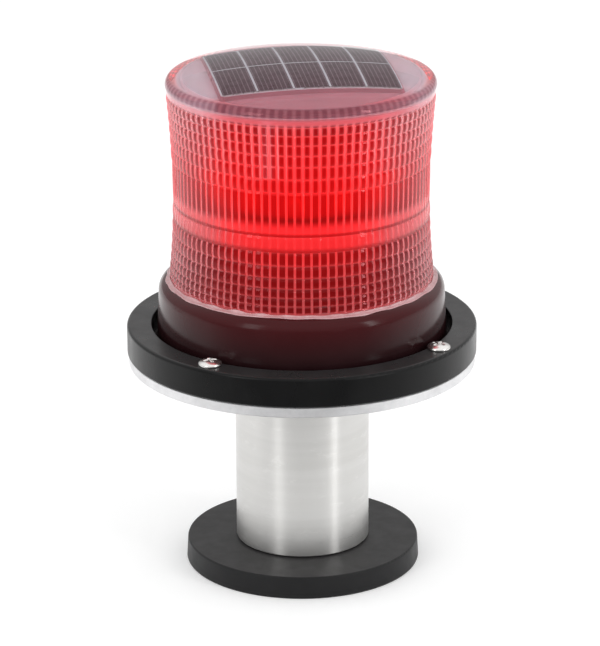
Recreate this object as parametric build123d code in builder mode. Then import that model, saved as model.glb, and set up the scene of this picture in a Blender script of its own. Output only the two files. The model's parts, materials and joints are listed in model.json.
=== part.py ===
"""Solar warning light on an aluminium stem with a rubber-coated magnet foot.

Millimetres, +Z up.  The origin is the centre of the magnet's face, on the surface the light stands on.
The magnet foot turns on its stud in the stem, and the switch knob under the head slides between on and off.
"""
from build123d import *
from math import cos, radians, sin, sqrt
import os

os.makedirs("parts", exist_ok=True)

# ---------------------------------------------------------------- driving dimensions

BASE = (Align.CENTER, Align.CENTER, Align.MIN)
TOP = (Align.CENTER, Align.CENTER, Align.MAX)
TOLERANCE = 0.01

# magnet foot
MAGNET_R = 44.0
MAGNET_T = 8.5
MAGNET_TOP_R = 43.5
COATING_SKIN = 1.0
COATING_ROUND = 0.7
POLE_PLATE_R = 42.0
POLE_PLATE_T = 2.5
SEGMENT_R = 8.5
SEGMENT_RING_R = 29.0
SEGMENT_COUNT = 8
STUD_R = 3.97
STUD_TOP = 21.0
STUD_BOSS_R = 7.2
STUD_NECK_R = 6.0
STUD_CHAMFER = 0.8

# stem
FOOT_GAP = 0.2
STEM_R = 25.0
STEM_WALL = 3.0
STEM_CHAMFER = 0.5
PLUG_T = 14.0
PLUG_BORE_R = 4.03
SPIGOT_DEPTH = 1.5
STEM_SCREW_R = 4.0
STEM_SCREW_HEAD_R = 7.6
STEM_SCREW_LENGTH = 16.0
STEM_SCREW_SOCKET_R = 2.9
STEM_SCREW_SOCKET_DEPTH = 2.5

# mounting plate, clamp ring and the four screws that hold the head together
PLATE_Z = 79.0
PLATE_T = 4.0
PLATE_R = 64.5
PLATE_CHAMFER = 0.4
RING_R = 65.0
RING_BORE_R = 55.8
RING_T = 11.0
RING_TOP_ROUND = 1.2
RING_BORE_ROUND = 0.5
RING_FOOT_ROUND = 0.6
RING_FOOT_GAP = 0.2
SCREW_CIRCLE_R = 59.5
SCREW_R = 2.5
SCREW_HOLE_R = 2.75
SCREW_TIP_GAP = 0.6
SCREW_HEAD_R = 4.4
SCREW_HEAD_T = 2.1
SCREW_HEAD_ROUND = 1.6
SCREW_RECESS = (4.6, 0.9, 1.2)
DIAGONAL = 45.0

# base housing
FOOT_R = 63.0
FOOT_T = 4.0
COLLAR_FOOT_R = 54.0
COLLAR_TOP_R = 53.0
COLLAR_ROUND = 5.0
COLLAR_TOP = 111.7
HOUSING_BORE_R = 50.4
SHELF_Z = 104.0
SHELF_T = 4.0
SHELF_BORE_R = 36.0
REBATE_R = 49.1

# bottom cover with its seal and screws
COVER_R = 50.2
COVER_T = 4.0
COVER_GAP = 0.4
SEAL_R = 1.05
COVER_SCREW_CIRCLE_R = 44.0
COVER_BOSS_R = 4.0
COVER_BOSS_RIB = 2.0
COVER_SCREW_HOLE_DEPTH = 10.0
COVER_SCREW_LENGTH = 12.0
COVER_HEAD_GAP = 0.2
SEAT_GAP = 0.25
SMALL_SCREW_R = 1.5
SMALL_HEAD_R = 2.75
SMALL_HEAD_T = 1.9
SMALL_CLEARANCE = 0.2
SMALL_RECESS = (3.4, 0.7, 1.2)

# power switch
SWITCH_Y = 36.0
SWITCH_TRAVEL = 4.0
SWITCH_BODY = (20.0, 9.0, 6.0)
SWITCH_FLANGE = (30.0, 9.0, 1.0)
SWITCH_CAVITY = (16.0, 7.0, 2.6)
SWITCH_SCREW_PITCH = 25.0
SWITCH_SCREW_HEAD_R = 1.9
SWITCH_SCREW_HEAD_T = 1.3
SWITCH_HOLE_R = 1.1
TINY_SCREW_R = 1.0
KNOB = (5.0, 4.0)
KNOB_SLOT = (11.0, 4.6)
KNOB_SLOT_MARGIN = 1.0
KNOB_DROP = 2.0
KNOB_GRIP_PITCH = 1.5
KNOB_GRIP = (0.6, 0.5)
CARRIAGE = (9.0, 6.0, 1.8)
CARRIAGE_GAP = 0.3
FINGER_WINDOW = (26.0, 14.0)
FINGER_WINDOW_ROUND = 4.0

# battery
CELL_R = 7.1
CELL_LENGTH = 48.5
CELL_NUB_R = 2.7
CELL_NUB_LENGTH = 1.5
CELL_COUNT = 3
CELL_PITCH = 15.4
HOLDER_INNER_LENGTH = 54.0
HOLDER_WALL = 1.4
HOLDER_FLOOR = 1.2
HOLDER_HEIGHT = 11.0
DIVIDER_T = 0.8
PAD_T = 0.6
PAD_MARGIN = 3.0
CONTACT_T = 0.4
CONTACT_PLATE = (9.0, 10.0)
LEAF_HALF = 5.0
LEAF_WIDTH = 8.0
BATTERY_LEAD_Y = 12.0
BATTERY_LEAD_PORT = (18.0, 9.0)
BATTERY_LEAD_BEND = 3.0
BATTERY_LEAD_DROP = 2.0
BATTERY_LEAD_RISE = 1.5

# core that carries the driver board and the lamps
CORE_R = 31.0
CORE_WALL = 2.0
CORE_FLANGE_R = 41.0
CORE_FLANGE_T = 2.5
PEDESTAL_SCREW_CIRCLE_R = 38.2
PEDESTAL_HEAD_R = 2.55
PEDESTAL_TIP_GAP = 0.5
BOARD_T = 1.6
DRIVER_BOARD_R = 27.0
DRIVER_BOARD_Z = 112.5
LEDGE_BORE_R = 23.5
LEDGE_T = 1.8
BOARD_SCREW_CIRCLE_R = 25.3
BOARD_SCREW_HEAD_R = 1.6
BOARD_SCREW_HEAD_T = 1.1
BOARD_SCREW_TIP_GAP = 0.2
CHIP = (5.0, 4.0, 1.5)
CHIP_Y = 4.0
CHIP_STANDOFF = 0.3
CHIP_PIN = (0.4, 1.4, 0.5)
CHIP_PIN_PITCH = (1.27, 5.2)
INDUCTOR = (7.3, 7.3, 3.5)
INDUCTOR_PLACE = (-9.0, -6.0)
INDUCTOR_CHAMFER = 1.2
CAPACITOR_R = 2.5
CAPACITOR_HEIGHT = 7.0
CAPACITOR_ROUND = 0.4
CAPACITOR_PLACES = ((8.0, -9.0), (15.0, -3.0))
LAMP_Z = 148.7
LAMP_BOARD_Z = 142.0
LAMP_BOARD_BORE_R = 12.0
LAMP_HOLDER_R = 33.0
LAMP_HOLDER_WALL = 3.0
LAMP_COUNT = 12
LAMP_R = 2.5
LAMP_RIM_R = 2.9
LAMP_RIM_T = 1.0
LAMP_LENGTH = 8.6
LAMP_BASE_R = 28.8
LEG_T = 0.5
LEG_REACH = 2.0
LEG_SPACING = 2.54
CORE_SCREW_CIRCLE_R = 26.8
CORE_SCREW_HEAD_R = 2.15
CORE_LUG_R = 3.5
CORE_LUG_T = 12.0
CORE_SCREW_DEPTH = 9.0
CORE_HOLE_GAP = 0.1
CAP_TOP = 183.0
CAP_HOLE_R = 6.0
CAP_FLANGE_MARGIN = 1.0
LEAD_R = 0.7
LEAD_GAP = 0.1
SOCKET_SIZE = (7.0, 4.5)
SOCKET_HEIGHT = 5.0
SOCKET_PIN_X = 1.3
PANEL_SOCKET_Y = 15.0
LAMP_SOCKET_Y = -15.0
LAMP_LEAD_RISE = 8.0
LAMP_LEAD_SHIFT = 6.0
LAMP_LEAD_BEND = 8.0
PANEL_LEAD_BEND = 14.0
PANEL_LEAD_ROUTE = ((2.0, 168.0), (7.0, 152.0), (7.0, 140.0))
PANEL_LEAD_LOW_Z = 128.0

# lens
LENS_SEAT_T = 0.8
GASKET_BORE_GAP = 0.4
LENS_FOOT_R = 48.75
LENS_FOOT_TOP = 114.8
LENS_WAIST_R = 47.27
LENS_WAIST_Z = 143.0
LENS_RIM_R = 49.5
LENS_RIM_Z = 184.0
LENS_BORE_R = 44.2
LENS_RIM_ROUND = 3.0
LENS_INNER_ROUND = 2.0
DOME_R = 187.0
DOME_TOP = 194.0
DOME_UNDERSIDE = 184.0
BELT_LOW = 140.6
BELT_HIGH = 156.8
RINGS_BELOW = 7
RINGS_ABOVE = 6
FIRST_PITCH_BELOW = 5.7
PITCH_RATIO_BELOW = 0.88
FIRST_PITCH_ABOVE = 5.1
PITCH_RATIO_ABOVE = 0.91
GROOVE_DEPTH = 0.45
GROOVE_HALF = 0.4
GROOVE_OVERCUT = 0.3

# sealant bead round the lens foot
BEAD_OUTER_R = 49.9
BEAD_TOP = 112.4
BEAD_LIP = 0.3
BEAD_DEPTH = 2.5

# solar panel, set flat in the dome
PANEL_TURN = -3.0
CELL_COLUMNS = 5
CELL_ROWS = 2
SOLAR_CELL = (12.1, 26.9)
SOLAR_PITCH = (12.95, 27.8)
SOLAR_CELL_T = 0.2
PANEL_SIZE = (65.0, 56.5)
PANEL_CORNER = 1.2
POCKET_SIZE = (65.6, 57.1)
PANEL_BOARD_T = 0.8
PANEL_Z = 187.2
PANEL_POCKET_TOP = 188.4
STRIP_WIDTH = 0.8
STRIP_T = 0.15
STRIP_GAP = (-6.3, -3.2)
STRIP_SPACE = 0.1

# ---------------------------------------------------------------- levels that follow from them

POLE_PLATE_TOP = MAGNET_T - COATING_SKIN
POLE_PLATE_Z = POLE_PLATE_TOP - POLE_PLATE_T
STEM_BOTTOM = MAGNET_T + FOOT_GAP
RING_BOTTOM = PLATE_Z + PLATE_T
RING_TOP = RING_BOTTOM + RING_T
FOOT_TOP = RING_BOTTOM + FOOT_T
SHELF_TOP = SHELF_Z + SHELF_T
COVER_BOTTOM = RING_BOTTOM + COVER_GAP
COVER_TOP = COVER_BOTTOM + COVER_T
HOLDER_Z = COVER_TOP + PAD_T
CELL_AXIS_Z = HOLDER_Z + HOLDER_FLOOR + CELL_R
HOLDER_INNER_WIDTH = CELL_COUNT * CELL_PITCH - DIVIDER_T
KNOB_BOTTOM = PLATE_Z + KNOB_DROP
LENS_FOOT_Z = SHELF_TOP + LENS_SEAT_T
HOLDER_TOP_Z = 2 * LAMP_Z - LAMP_BOARD_Z - BOARD_T
DRIVER_TOP_Z = DRIVER_BOARD_Z + BOARD_T
SOCKET_TOP = DRIVER_TOP_Z + SOCKET_HEIGHT
LAMP_BOARD_TOP = LAMP_BOARD_Z + BOARD_T
LEG_DROP = LAMP_Z - LAMP_BOARD_TOP + LEG_T / 2
PANEL_TOP = PANEL_Z + PANEL_BOARD_T
PANEL_PLANE = Plane.XY.rotated((0, 0, PANEL_TURN))
CELL_BACK = HOLDER_INNER_LENGTH / 2 - CONTACT_T - CELL_NUB_LENGTH - CELL_LENGTH
BATTERY_LEAD_X = HOLDER_INNER_LENGTH / 2 + HOLDER_WALL + LEAD_R + LEAD_GAP
STRIP_Y = -(SOLAR_PITCH[1] + SOLAR_CELL[1]) / 2 - STRIP_WIDTH / 2 - STRIP_SPACE
CELLS_HALF_WIDTH = (SOLAR_PITCH[0] * (CELL_COLUMNS - 1) + SOLAR_CELL[0]) / 2

cell_rows = [(CELL_PITCH * (k - 1), 1 if k % 2 == 0 else -1) for k in range(CELL_COUNT)]
lamp_angles = [360 / LAMP_COUNT * (k + 0.5) for k in range(LAMP_COUNT)]


def collar_arc_z(radius):
    """Height of the collar's rounded shoulder at a radius."""
    centre_r = COLLAR_TOP_R - COLLAR_ROUND
    return COLLAR_TOP - COLLAR_ROUND + sqrt(COLLAR_ROUND**2 - (radius - centre_r) ** 2)


def dome_z(radius):
    """Height of the dome's outer surface at a radius."""
    return DOME_TOP - DOME_R + sqrt(DOME_R**2 - radius**2)


def lens_radius(z):
    """Outer radius of the lens wall at a height: a plain foot, then two arcs that meet at the waist."""
    if z < LENS_FOOT_TOP:
        return LENS_FOOT_R
    if z > LENS_WAIST_Z:
        rise, spread = LENS_RIM_Z - LENS_WAIST_Z, LENS_RIM_R - LENS_WAIST_R
    else:
        rise, spread = LENS_WAIST_Z - LENS_FOOT_TOP, LENS_FOOT_R - LENS_WAIST_R
    curve = (rise**2 + spread**2) / (2 * spread)
    return LENS_WAIST_R + curve - sqrt(curve**2 - (z - LENS_WAIST_Z) ** 2)


def ring_levels():
    """Heights of the grooves between the lens rings, which get narrower away from the lamp belt."""
    levels = [BELT_LOW, BELT_HIGH]
    below, above = BELT_LOW, BELT_HIGH
    for k in range(RINGS_BELOW):
        below -= FIRST_PITCH_BELOW * PITCH_RATIO_BELOW**k
        levels.append(below)
    for k in range(RINGS_ABOVE):
        above += FIRST_PITCH_ABOVE * PITCH_RATIO_ABOVE**k
        levels.append(above)
    return sorted(levels)


def radial_plane(angle, radius, z):
    """Plane that faces outwards at an angle, radius and height; its x runs along the rim and its y upwards."""
    turn = radians(angle)
    return Plane(
        origin=(radius * cos(turn), radius * sin(turn), z),
        x_dir=(-sin(turn), cos(turn), 0),
        z_dir=(cos(turn), sin(turn), 0),
    )


def lead(points, bend):
    """Round lead along a path with rounded bends."""
    with BuildPart() as one_lead:
        with BuildLine() as path:
            FilletPolyline(*points, radius=bend)
        with BuildSketch(Plane(origin=path.line @ 0, z_dir=path.line % 0)):
            Circle(LEAD_R)
        sweep(path=path.line)
    return one_lead.part


lamp_planes = [radial_plane(angle, LAMP_BASE_R, LAMP_Z) for angle in lamp_angles]

# ================================================================ magnet foot

# Rubber coating: a drafted disc, moulded over the pole plate and the magnets.
with BuildPart() as magnet_coating:
    with BuildSketch(Plane.XZ) as coating_profile:
        Polygon((0, 0), (MAGNET_R, 0), (MAGNET_TOP_R, MAGNET_T), (0, MAGNET_T), align=None)
        fillet(coating_profile.vertices().sort_by(Axis.X)[-2:], COATING_ROUND)
    revolve(axis=Axis.Z)
    with BuildSketch(Plane.XY.offset(MAGNET_T - COATING_SKIN)):
        Circle(POLE_PLATE_R)
    extrude(amount=-POLE_PLATE_T, mode=Mode.SUBTRACT)
    with BuildSketch(Plane.XY.offset(COATING_SKIN)):
        with PolarLocations(SEGMENT_RING_R, SEGMENT_COUNT):
            Circle(SEGMENT_R)
    extrude(amount=POLE_PLATE_Z - COATING_SKIN, mode=Mode.SUBTRACT)
    with BuildSketch(Plane.XY.offset(MAGNET_T)):
        Circle(STUD_NECK_R)
    extrude(amount=-COATING_SKIN, mode=Mode.SUBTRACT)
magnet_coating.part.label = "magnet_coating"
export_step(magnet_coating.part, "parts/magnet_coating.step")

# Steel pole plate under the top skin.
with BuildPart() as magnet_plate:
    with BuildSketch(Plane.XY.offset(POLE_PLATE_Z)):
        Circle(POLE_PLATE_R)
        Circle(STUD_BOSS_R, mode=Mode.SUBTRACT)
    extrude(amount=POLE_PLATE_T)
magnet_plate.part.label = "magnet_plate"
export_step(magnet_plate.part, "parts/magnet_plate.step")

# Ring of disc magnets under the plate.
with BuildPart() as magnet_segments:
    with BuildSketch(Plane.XY.offset(COATING_SKIN)):
        with PolarLocations(SEGMENT_RING_R, SEGMENT_COUNT):
            Circle(SEGMENT_R)
    extrude(amount=POLE_PLATE_Z - COATING_SKIN)
magnet_segments.part.label = "magnet_segments"
export_step(magnet_segments.part, "parts/magnet_segments.step")

# Flanged stud riveted in the plate, standing up into the stem.
with BuildPart() as magnet_stud:
    with Locations((0, 0, POLE_PLATE_Z)):
        Cylinder(STUD_BOSS_R, POLE_PLATE_T, align=BASE)
    with Locations((0, 0, POLE_PLATE_TOP)):
        Cylinder(STUD_NECK_R, COATING_SKIN, align=BASE)
    with Locations((0, 0, MAGNET_T)):
        Cylinder(STUD_R, STUD_TOP - MAGNET_T, align=BASE)
    chamfer(magnet_stud.edges().group_by(Axis.Z)[-1], STUD_CHAMFER)
magnet_stud.part.label = "magnet_stud"
export_step(magnet_stud.part, "parts/magnet_stud.step")

# ================================================================ stem

# Threaded plug at the foot of the tube.
with BuildPart() as stem_foot_plug:
    with BuildSketch(Plane.XY.offset(STEM_BOTTOM)):
        Circle(STEM_R - STEM_WALL)
        Circle(PLUG_BORE_R, mode=Mode.SUBTRACT)
    extrude(amount=PLUG_T)
stem_foot_plug.part.label = "stem_foot_plug"
export_step(stem_foot_plug.part, "parts/stem_foot_plug.step")

# Aluminium tube, spigoted into the mounting plate.
with BuildPart() as stem_tube:
    with BuildSketch(Plane.XY.offset(STEM_BOTTOM)):
        Circle(STEM_R)
        Circle(STEM_R - STEM_WALL, mode=Mode.SUBTRACT)
    extrude(amount=PLATE_Z + SPIGOT_DEPTH - STEM_BOTTOM)
    chamfer(stem_tube.edges().group_by(Axis.Z)[0].sort_by(SortBy.RADIUS)[-1], STEM_CHAMFER)
stem_tube.part.label = "stem_tube"
export_step(stem_tube.part, "parts/stem_tube.step")

# Tapped plug at the top of the tube, which the stem screw pulls against the plate.
with BuildPart() as stem_top_plug:
    with BuildSketch(Plane.XY.offset(PLATE_Z)):
        Circle(STEM_R - STEM_WALL)
        Circle(STEM_SCREW_R, mode=Mode.SUBTRACT)
    extrude(amount=-PLUG_T)
stem_top_plug.part.label = "stem_top_plug"
export_step(stem_top_plug.part, "parts/stem_top_plug.step")

# Countersunk screw from the plate's top into the plug, with a hexagon socket.
with BuildPart() as stem_screw:
    with BuildSketch(Plane.XZ) as screw_profile:
        Polygon(
            (0, RING_BOTTOM - STEM_SCREW_LENGTH),
            (STEM_SCREW_R, RING_BOTTOM - STEM_SCREW_LENGTH),
            (STEM_SCREW_R, RING_BOTTOM - STEM_SCREW_HEAD_R + STEM_SCREW_R),
            (STEM_SCREW_HEAD_R, RING_BOTTOM),
            (0, RING_BOTTOM),
            align=None,
        )
    revolve(axis=Axis.Z)
    with BuildSketch(Plane.XY.offset(RING_BOTTOM)):
        RegularPolygon(STEM_SCREW_SOCKET_R, 6)
    extrude(amount=-STEM_SCREW_SOCKET_DEPTH, mode=Mode.SUBTRACT)
stem_screw.part.label = "stem_screw"
export_step(stem_screw.part, "parts/stem_screw.step")

# ================================================================ plate, ring and head screws

# Aluminium plate: tapped for the head screws, grooved for the tube, with a finger window to the switch.
with BuildPart() as mounting_plate:
    with BuildSketch(Plane.XY.offset(PLATE_Z)):
        Circle(PLATE_R)
        with PolarLocations(SCREW_CIRCLE_R, 4, start_angle=DIAGONAL):
            Circle(SCREW_R, mode=Mode.SUBTRACT)
        with Locations((0, SWITCH_Y)):
            RectangleRounded(*FINGER_WINDOW, FINGER_WINDOW_ROUND, mode=Mode.SUBTRACT)
    extrude(amount=PLATE_T)
    with Locations((0, 0, RING_BOTTOM)):
        CounterSinkHole(STEM_SCREW_R, STEM_SCREW_HEAD_R, counter_sink_angle=90)
    with BuildSketch(Plane.XY.offset(PLATE_Z)):
        Circle(STEM_R)
        Circle(STEM_R - STEM_WALL, mode=Mode.SUBTRACT)
    extrude(amount=SPIGOT_DEPTH, mode=Mode.SUBTRACT)
    chamfer(mounting_plate.edges().filter_by(GeomType.CIRCLE).sort_by(SortBy.RADIUS)[-2:], PLATE_CHAMFER)
mounting_plate.part.label = "mounting_plate"
export_step(mounting_plate.part, "parts/mounting_plate.step")

# Clamp ring: recessed underneath over the housing's foot, so that it presses the foot to the plate.
with BuildPart() as clamp_ring:
    with BuildSketch(Plane.XY.offset(RING_BOTTOM)):
        Circle(RING_R)
        Circle(RING_BORE_R, mode=Mode.SUBTRACT)
    extrude(amount=RING_T)
    top_edges = clamp_ring.edges().filter_by(GeomType.CIRCLE).group_by(Axis.Z)[-1].sort_by(SortBy.RADIUS)
    fillet(top_edges[-1], RING_TOP_ROUND)
    fillet(top_edges[0], RING_BORE_ROUND)
    fillet(clamp_ring.edges().group_by(Axis.Z)[0].sort_by(SortBy.RADIUS)[-1], RING_FOOT_ROUND)
    with BuildSketch(Plane.XY.offset(RING_BOTTOM)):
        Circle(FOOT_R + RING_FOOT_GAP)
    extrude(amount=FOOT_T, mode=Mode.SUBTRACT)
    with BuildSketch(Plane.XY.offset(FOOT_TOP)):
        with PolarLocations(SCREW_CIRCLE_R, 4, start_angle=DIAGONAL):
            Circle(SCREW_HOLE_R)
    extrude(amount=RING_T, mode=Mode.SUBTRACT)
clamp_ring.part.label = "clamp_ring"
export_step(clamp_ring.part, "parts/clamp_ring.step")

# Four pan-head screws with a cross recess, through the ring and the foot into the plate.
with BuildPart() as clamp_screws:
    with PolarLocations(SCREW_CIRCLE_R, 4, start_angle=DIAGONAL):
        with Locations((0, 0, RING_TOP)):
            Cylinder(SCREW_HEAD_R, SCREW_HEAD_T, align=BASE)
            Cylinder(SCREW_R, RING_T + PLATE_T - SCREW_TIP_GAP, align=TOP)
    fillet(clamp_screws.edges().group_by(Axis.Z)[-1], SCREW_HEAD_ROUND)
    with PolarLocations(SCREW_CIRCLE_R, 4, start_angle=DIAGONAL):
        with Locations((0, 0, RING_TOP + SCREW_HEAD_T)):
            for turn in (0, 90):
                Box(*SCREW_RECESS, rotation=(0, 0, turn), align=TOP, mode=Mode.SUBTRACT)
clamp_screws.part.label = "clamp_screws"
export_step(clamp_screws.part, "parts/clamp_screws.step")

# ================================================================ base housing

# Black housing: foot flange, tapering collar with a round shoulder, and a shelf that carries lens and core.
with BuildPart() as base_housing:
    with BuildSketch(Plane.XZ):
        with BuildLine():
            shoulder_z = COLLAR_TOP - COLLAR_ROUND
            shoulder_r = COLLAR_TOP_R - COLLAR_ROUND
            mid = COLLAR_ROUND * sin(radians(45))
            Polyline(
                (HOUSING_BORE_R, RING_BOTTOM),
                (FOOT_R, RING_BOTTOM),
                (FOOT_R, FOOT_TOP),
                (COLLAR_FOOT_R, FOOT_TOP),
                (COLLAR_TOP_R, shoulder_z),
            )
            ThreePointArc(
                (COLLAR_TOP_R, shoulder_z),
                (shoulder_r + mid, shoulder_z + mid),
                (REBATE_R, collar_arc_z(REBATE_R)),
            )
            Polyline(
                (REBATE_R, collar_arc_z(REBATE_R)),
                (REBATE_R, SHELF_TOP),
                (SHELF_BORE_R, SHELF_TOP),
                (SHELF_BORE_R, SHELF_Z),
                (HOUSING_BORE_R, SHELF_Z),
                (HOUSING_BORE_R, RING_BOTTOM),
            )
        make_face()
    revolve(axis=Axis.Z)
    with BuildSketch(Plane.XY.offset(COVER_TOP)):
        with PolarLocations(COVER_SCREW_CIRCLE_R, 4, start_angle=DIAGONAL):
            Circle(COVER_BOSS_R)
            with Locations((COVER_BOSS_R, 0)):
                Rectangle(2 * COVER_BOSS_R, COVER_BOSS_RIB)
    extrude(amount=SHELF_Z - COVER_TOP)
    with BuildSketch(Plane.XY.offset(COVER_TOP)):
        with PolarLocations(COVER_SCREW_CIRCLE_R, 4, start_angle=DIAGONAL):
            Circle(SMALL_SCREW_R)
    extrude(amount=COVER_SCREW_HOLE_DEPTH, mode=Mode.SUBTRACT)
    with BuildSketch(Plane.XY.offset(SHELF_TOP)):
        with PolarLocations(PEDESTAL_SCREW_CIRCLE_R, 4):
            Circle(SMALL_SCREW_R)
    extrude(amount=-SHELF_T, mode=Mode.SUBTRACT)
    with BuildSketch(Plane.XY.offset(RING_BOTTOM)):
        with PolarLocations(SCREW_CIRCLE_R, 4, start_angle=DIAGONAL):
            Circle(SCREW_HOLE_R)
    extrude(amount=FOOT_T, mode=Mode.SUBTRACT)
base_housing.part.label = "base_housing"
export_step(base_housing.part, "parts/base_housing.step")

# Bottom cover, grooved for its seal, with counterbored screw holes and the knob's slot.
with BuildPart() as bottom_cover:
    with BuildSketch(Plane.XY.offset(COVER_BOTTOM)):
        Circle(COVER_R)
        with Locations((0, SWITCH_Y)):
            SlotOverall(KNOB_SLOT[0] + KNOB_SLOT_MARGIN, KNOB_SLOT[1] + KNOB_SLOT_MARGIN, mode=Mode.SUBTRACT)
    extrude(amount=COVER_T)
    with BuildSketch(Plane.XY.offset(COVER_BOTTOM + COVER_T / 2 - SEAL_R)):
        Circle(COVER_R)
        Circle(HOUSING_BORE_R - 2 * SEAL_R, mode=Mode.SUBTRACT)
    extrude(amount=2 * SEAL_R, mode=Mode.SUBTRACT)
    with PolarLocations(COVER_SCREW_CIRCLE_R, 4, start_angle=DIAGONAL):
        with Locations((0, 0, COVER_BOTTOM)):
            Cylinder(SMALL_HEAD_R + SEAT_GAP, SMALL_HEAD_T + COVER_HEAD_GAP, align=BASE, mode=Mode.SUBTRACT)
            Cylinder(SMALL_SCREW_R + SMALL_CLEARANCE, COVER_T, align=BASE, mode=Mode.SUBTRACT)
bottom_cover.part.label = "bottom_cover"
export_step(bottom_cover.part, "parts/bottom_cover.step")

# Round-section seal between the cover's groove and the housing wall.
with BuildPart() as cover_seal:
    with Locations((0, 0, COVER_BOTTOM + COVER_T / 2)):
        Torus(HOUSING_BORE_R - SEAL_R, SEAL_R)
cover_seal.part.label = "cover_seal"
export_step(cover_seal.part, "parts/cover_seal.step")

# Four small screws that hold the cover to the housing's bosses.
with BuildPart() as cover_screws:
    with PolarLocations(COVER_SCREW_CIRCLE_R, 4, start_angle=DIAGONAL):
        with Locations((0, 0, COVER_BOTTOM + COVER_HEAD_GAP)):
            Cylinder(SMALL_HEAD_R, SMALL_HEAD_T, align=BASE)
            Cylinder(SMALL_SCREW_R, COVER_SCREW_LENGTH, align=BASE)
            for turn in (0, 90):
                Box(*SMALL_RECESS, rotation=(0, 0, turn), align=BASE, mode=Mode.SUBTRACT)
cover_screws.part.label = "cover_screws"
export_step(cover_screws.part, "parts/cover_screws.step")

# ================================================================ power switch

# Switch body on the cover: a flanged box with a cavity for the slider's carriage.
with BuildPart() as switch_body:
    with Locations((0, SWITCH_Y, COVER_TOP)):
        Box(*SWITCH_FLANGE, align=BASE)
        Box(*SWITCH_BODY, align=BASE)
        Box(*KNOB_SLOT, SWITCH_FLANGE[2], align=BASE, mode=Mode.SUBTRACT)
    with Locations((0, SWITCH_Y, COVER_TOP + SWITCH_FLANGE[2])):
        Box(*SWITCH_CAVITY, align=BASE, mode=Mode.SUBTRACT)
    with Locations((0, SWITCH_Y, COVER_TOP)):
        with GridLocations(SWITCH_SCREW_PITCH, 1, 2, 1):
            Cylinder(SWITCH_HOLE_R, SWITCH_FLANGE[2], align=BASE, mode=Mode.SUBTRACT)
switch_body.part.label = "switch_body"
export_step(switch_body.part, "parts/switch_body.step")

# Two screws through the switch's flange.
with BuildPart() as switch_screws:
    with Locations((0, SWITCH_Y, COVER_TOP + SWITCH_FLANGE[2])):
        with GridLocations(SWITCH_SCREW_PITCH, 1, 2, 1):
            Cylinder(SWITCH_SCREW_HEAD_R, SWITCH_SCREW_HEAD_T, align=BASE)
            Cylinder(TINY_SCREW_R, SWITCH_FLANGE[2], align=TOP)
switch_screws.part.label = "switch_screws"
export_step(switch_screws.part, "parts/switch_screws.step")

# Slider: the carriage in the body and the ribbed knob in the plate's finger window, at its on end.
with BuildPart() as switch_slider:
    with Locations((-SWITCH_TRAVEL / 2, SWITCH_Y, COVER_TOP + SWITCH_FLANGE[2] + CARRIAGE_GAP)):
        Box(*CARRIAGE, align=BASE)
    with Locations((-SWITCH_TRAVEL / 2, SWITCH_Y, KNOB_BOTTOM)):
        Box(*KNOB, COVER_TOP + SWITCH_FLANGE[2] + 2 * CARRIAGE_GAP - KNOB_BOTTOM, align=BASE)
        with GridLocations(KNOB_GRIP_PITCH, 1, 3, 1):
            Box(KNOB_GRIP[0], KNOB[1], KNOB_GRIP[1], align=BASE, mode=Mode.SUBTRACT)
switch_slider.part.label = "switch_slider"
export_step(switch_slider.part, "parts/switch_slider.step")

# ================================================================ battery

# Foam pad that sticks the holder to the cover.
with BuildPart() as holder_pad:
    with BuildSketch(Plane.XY.offset(COVER_TOP)):
        Rectangle(HOLDER_INNER_LENGTH - 2 * PAD_MARGIN, HOLDER_INNER_WIDTH - 2 * PAD_MARGIN)
    extrude(amount=PAD_T)
holder_pad.part.label = "holder_pad"
export_step(holder_pad.part, "parts/holder_pad.step")

# Open holder with one channel for each cell.
with BuildPart() as battery_holder:
    with BuildSketch(Plane.XY.offset(HOLDER_Z)):
        Rectangle(HOLDER_INNER_LENGTH + 2 * HOLDER_WALL, HOLDER_INNER_WIDTH + 2 * HOLDER_WALL)
    extrude(amount=HOLDER_HEIGHT)
    with BuildSketch(Plane.XY.offset(HOLDER_Z + HOLDER_FLOOR)):
        with GridLocations(1, CELL_PITCH, 1, CELL_COUNT):
            Rectangle(HOLDER_INNER_LENGTH, CELL_PITCH - DIVIDER_T)
    extrude(amount=HOLDER_HEIGHT, mode=Mode.SUBTRACT)
battery_holder.part.label = "battery_holder"
export_step(battery_holder.part, "parts/battery_holder.step")

# Three round cells in series, turned end for end.
with BuildPart() as battery_cells:
    for y, way in cell_rows:
        with Locations(Plane(origin=(way * CELL_BACK, y, CELL_AXIS_Z), z_dir=(way, 0, 0))):
            Cylinder(CELL_R, CELL_LENGTH, align=BASE)
            Cylinder(CELL_NUB_R, CELL_LENGTH + CELL_NUB_LENGTH, align=BASE)
battery_cells.part.label = "battery_cells"
export_step(battery_cells.part, "parts/battery_cells.step")

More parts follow.
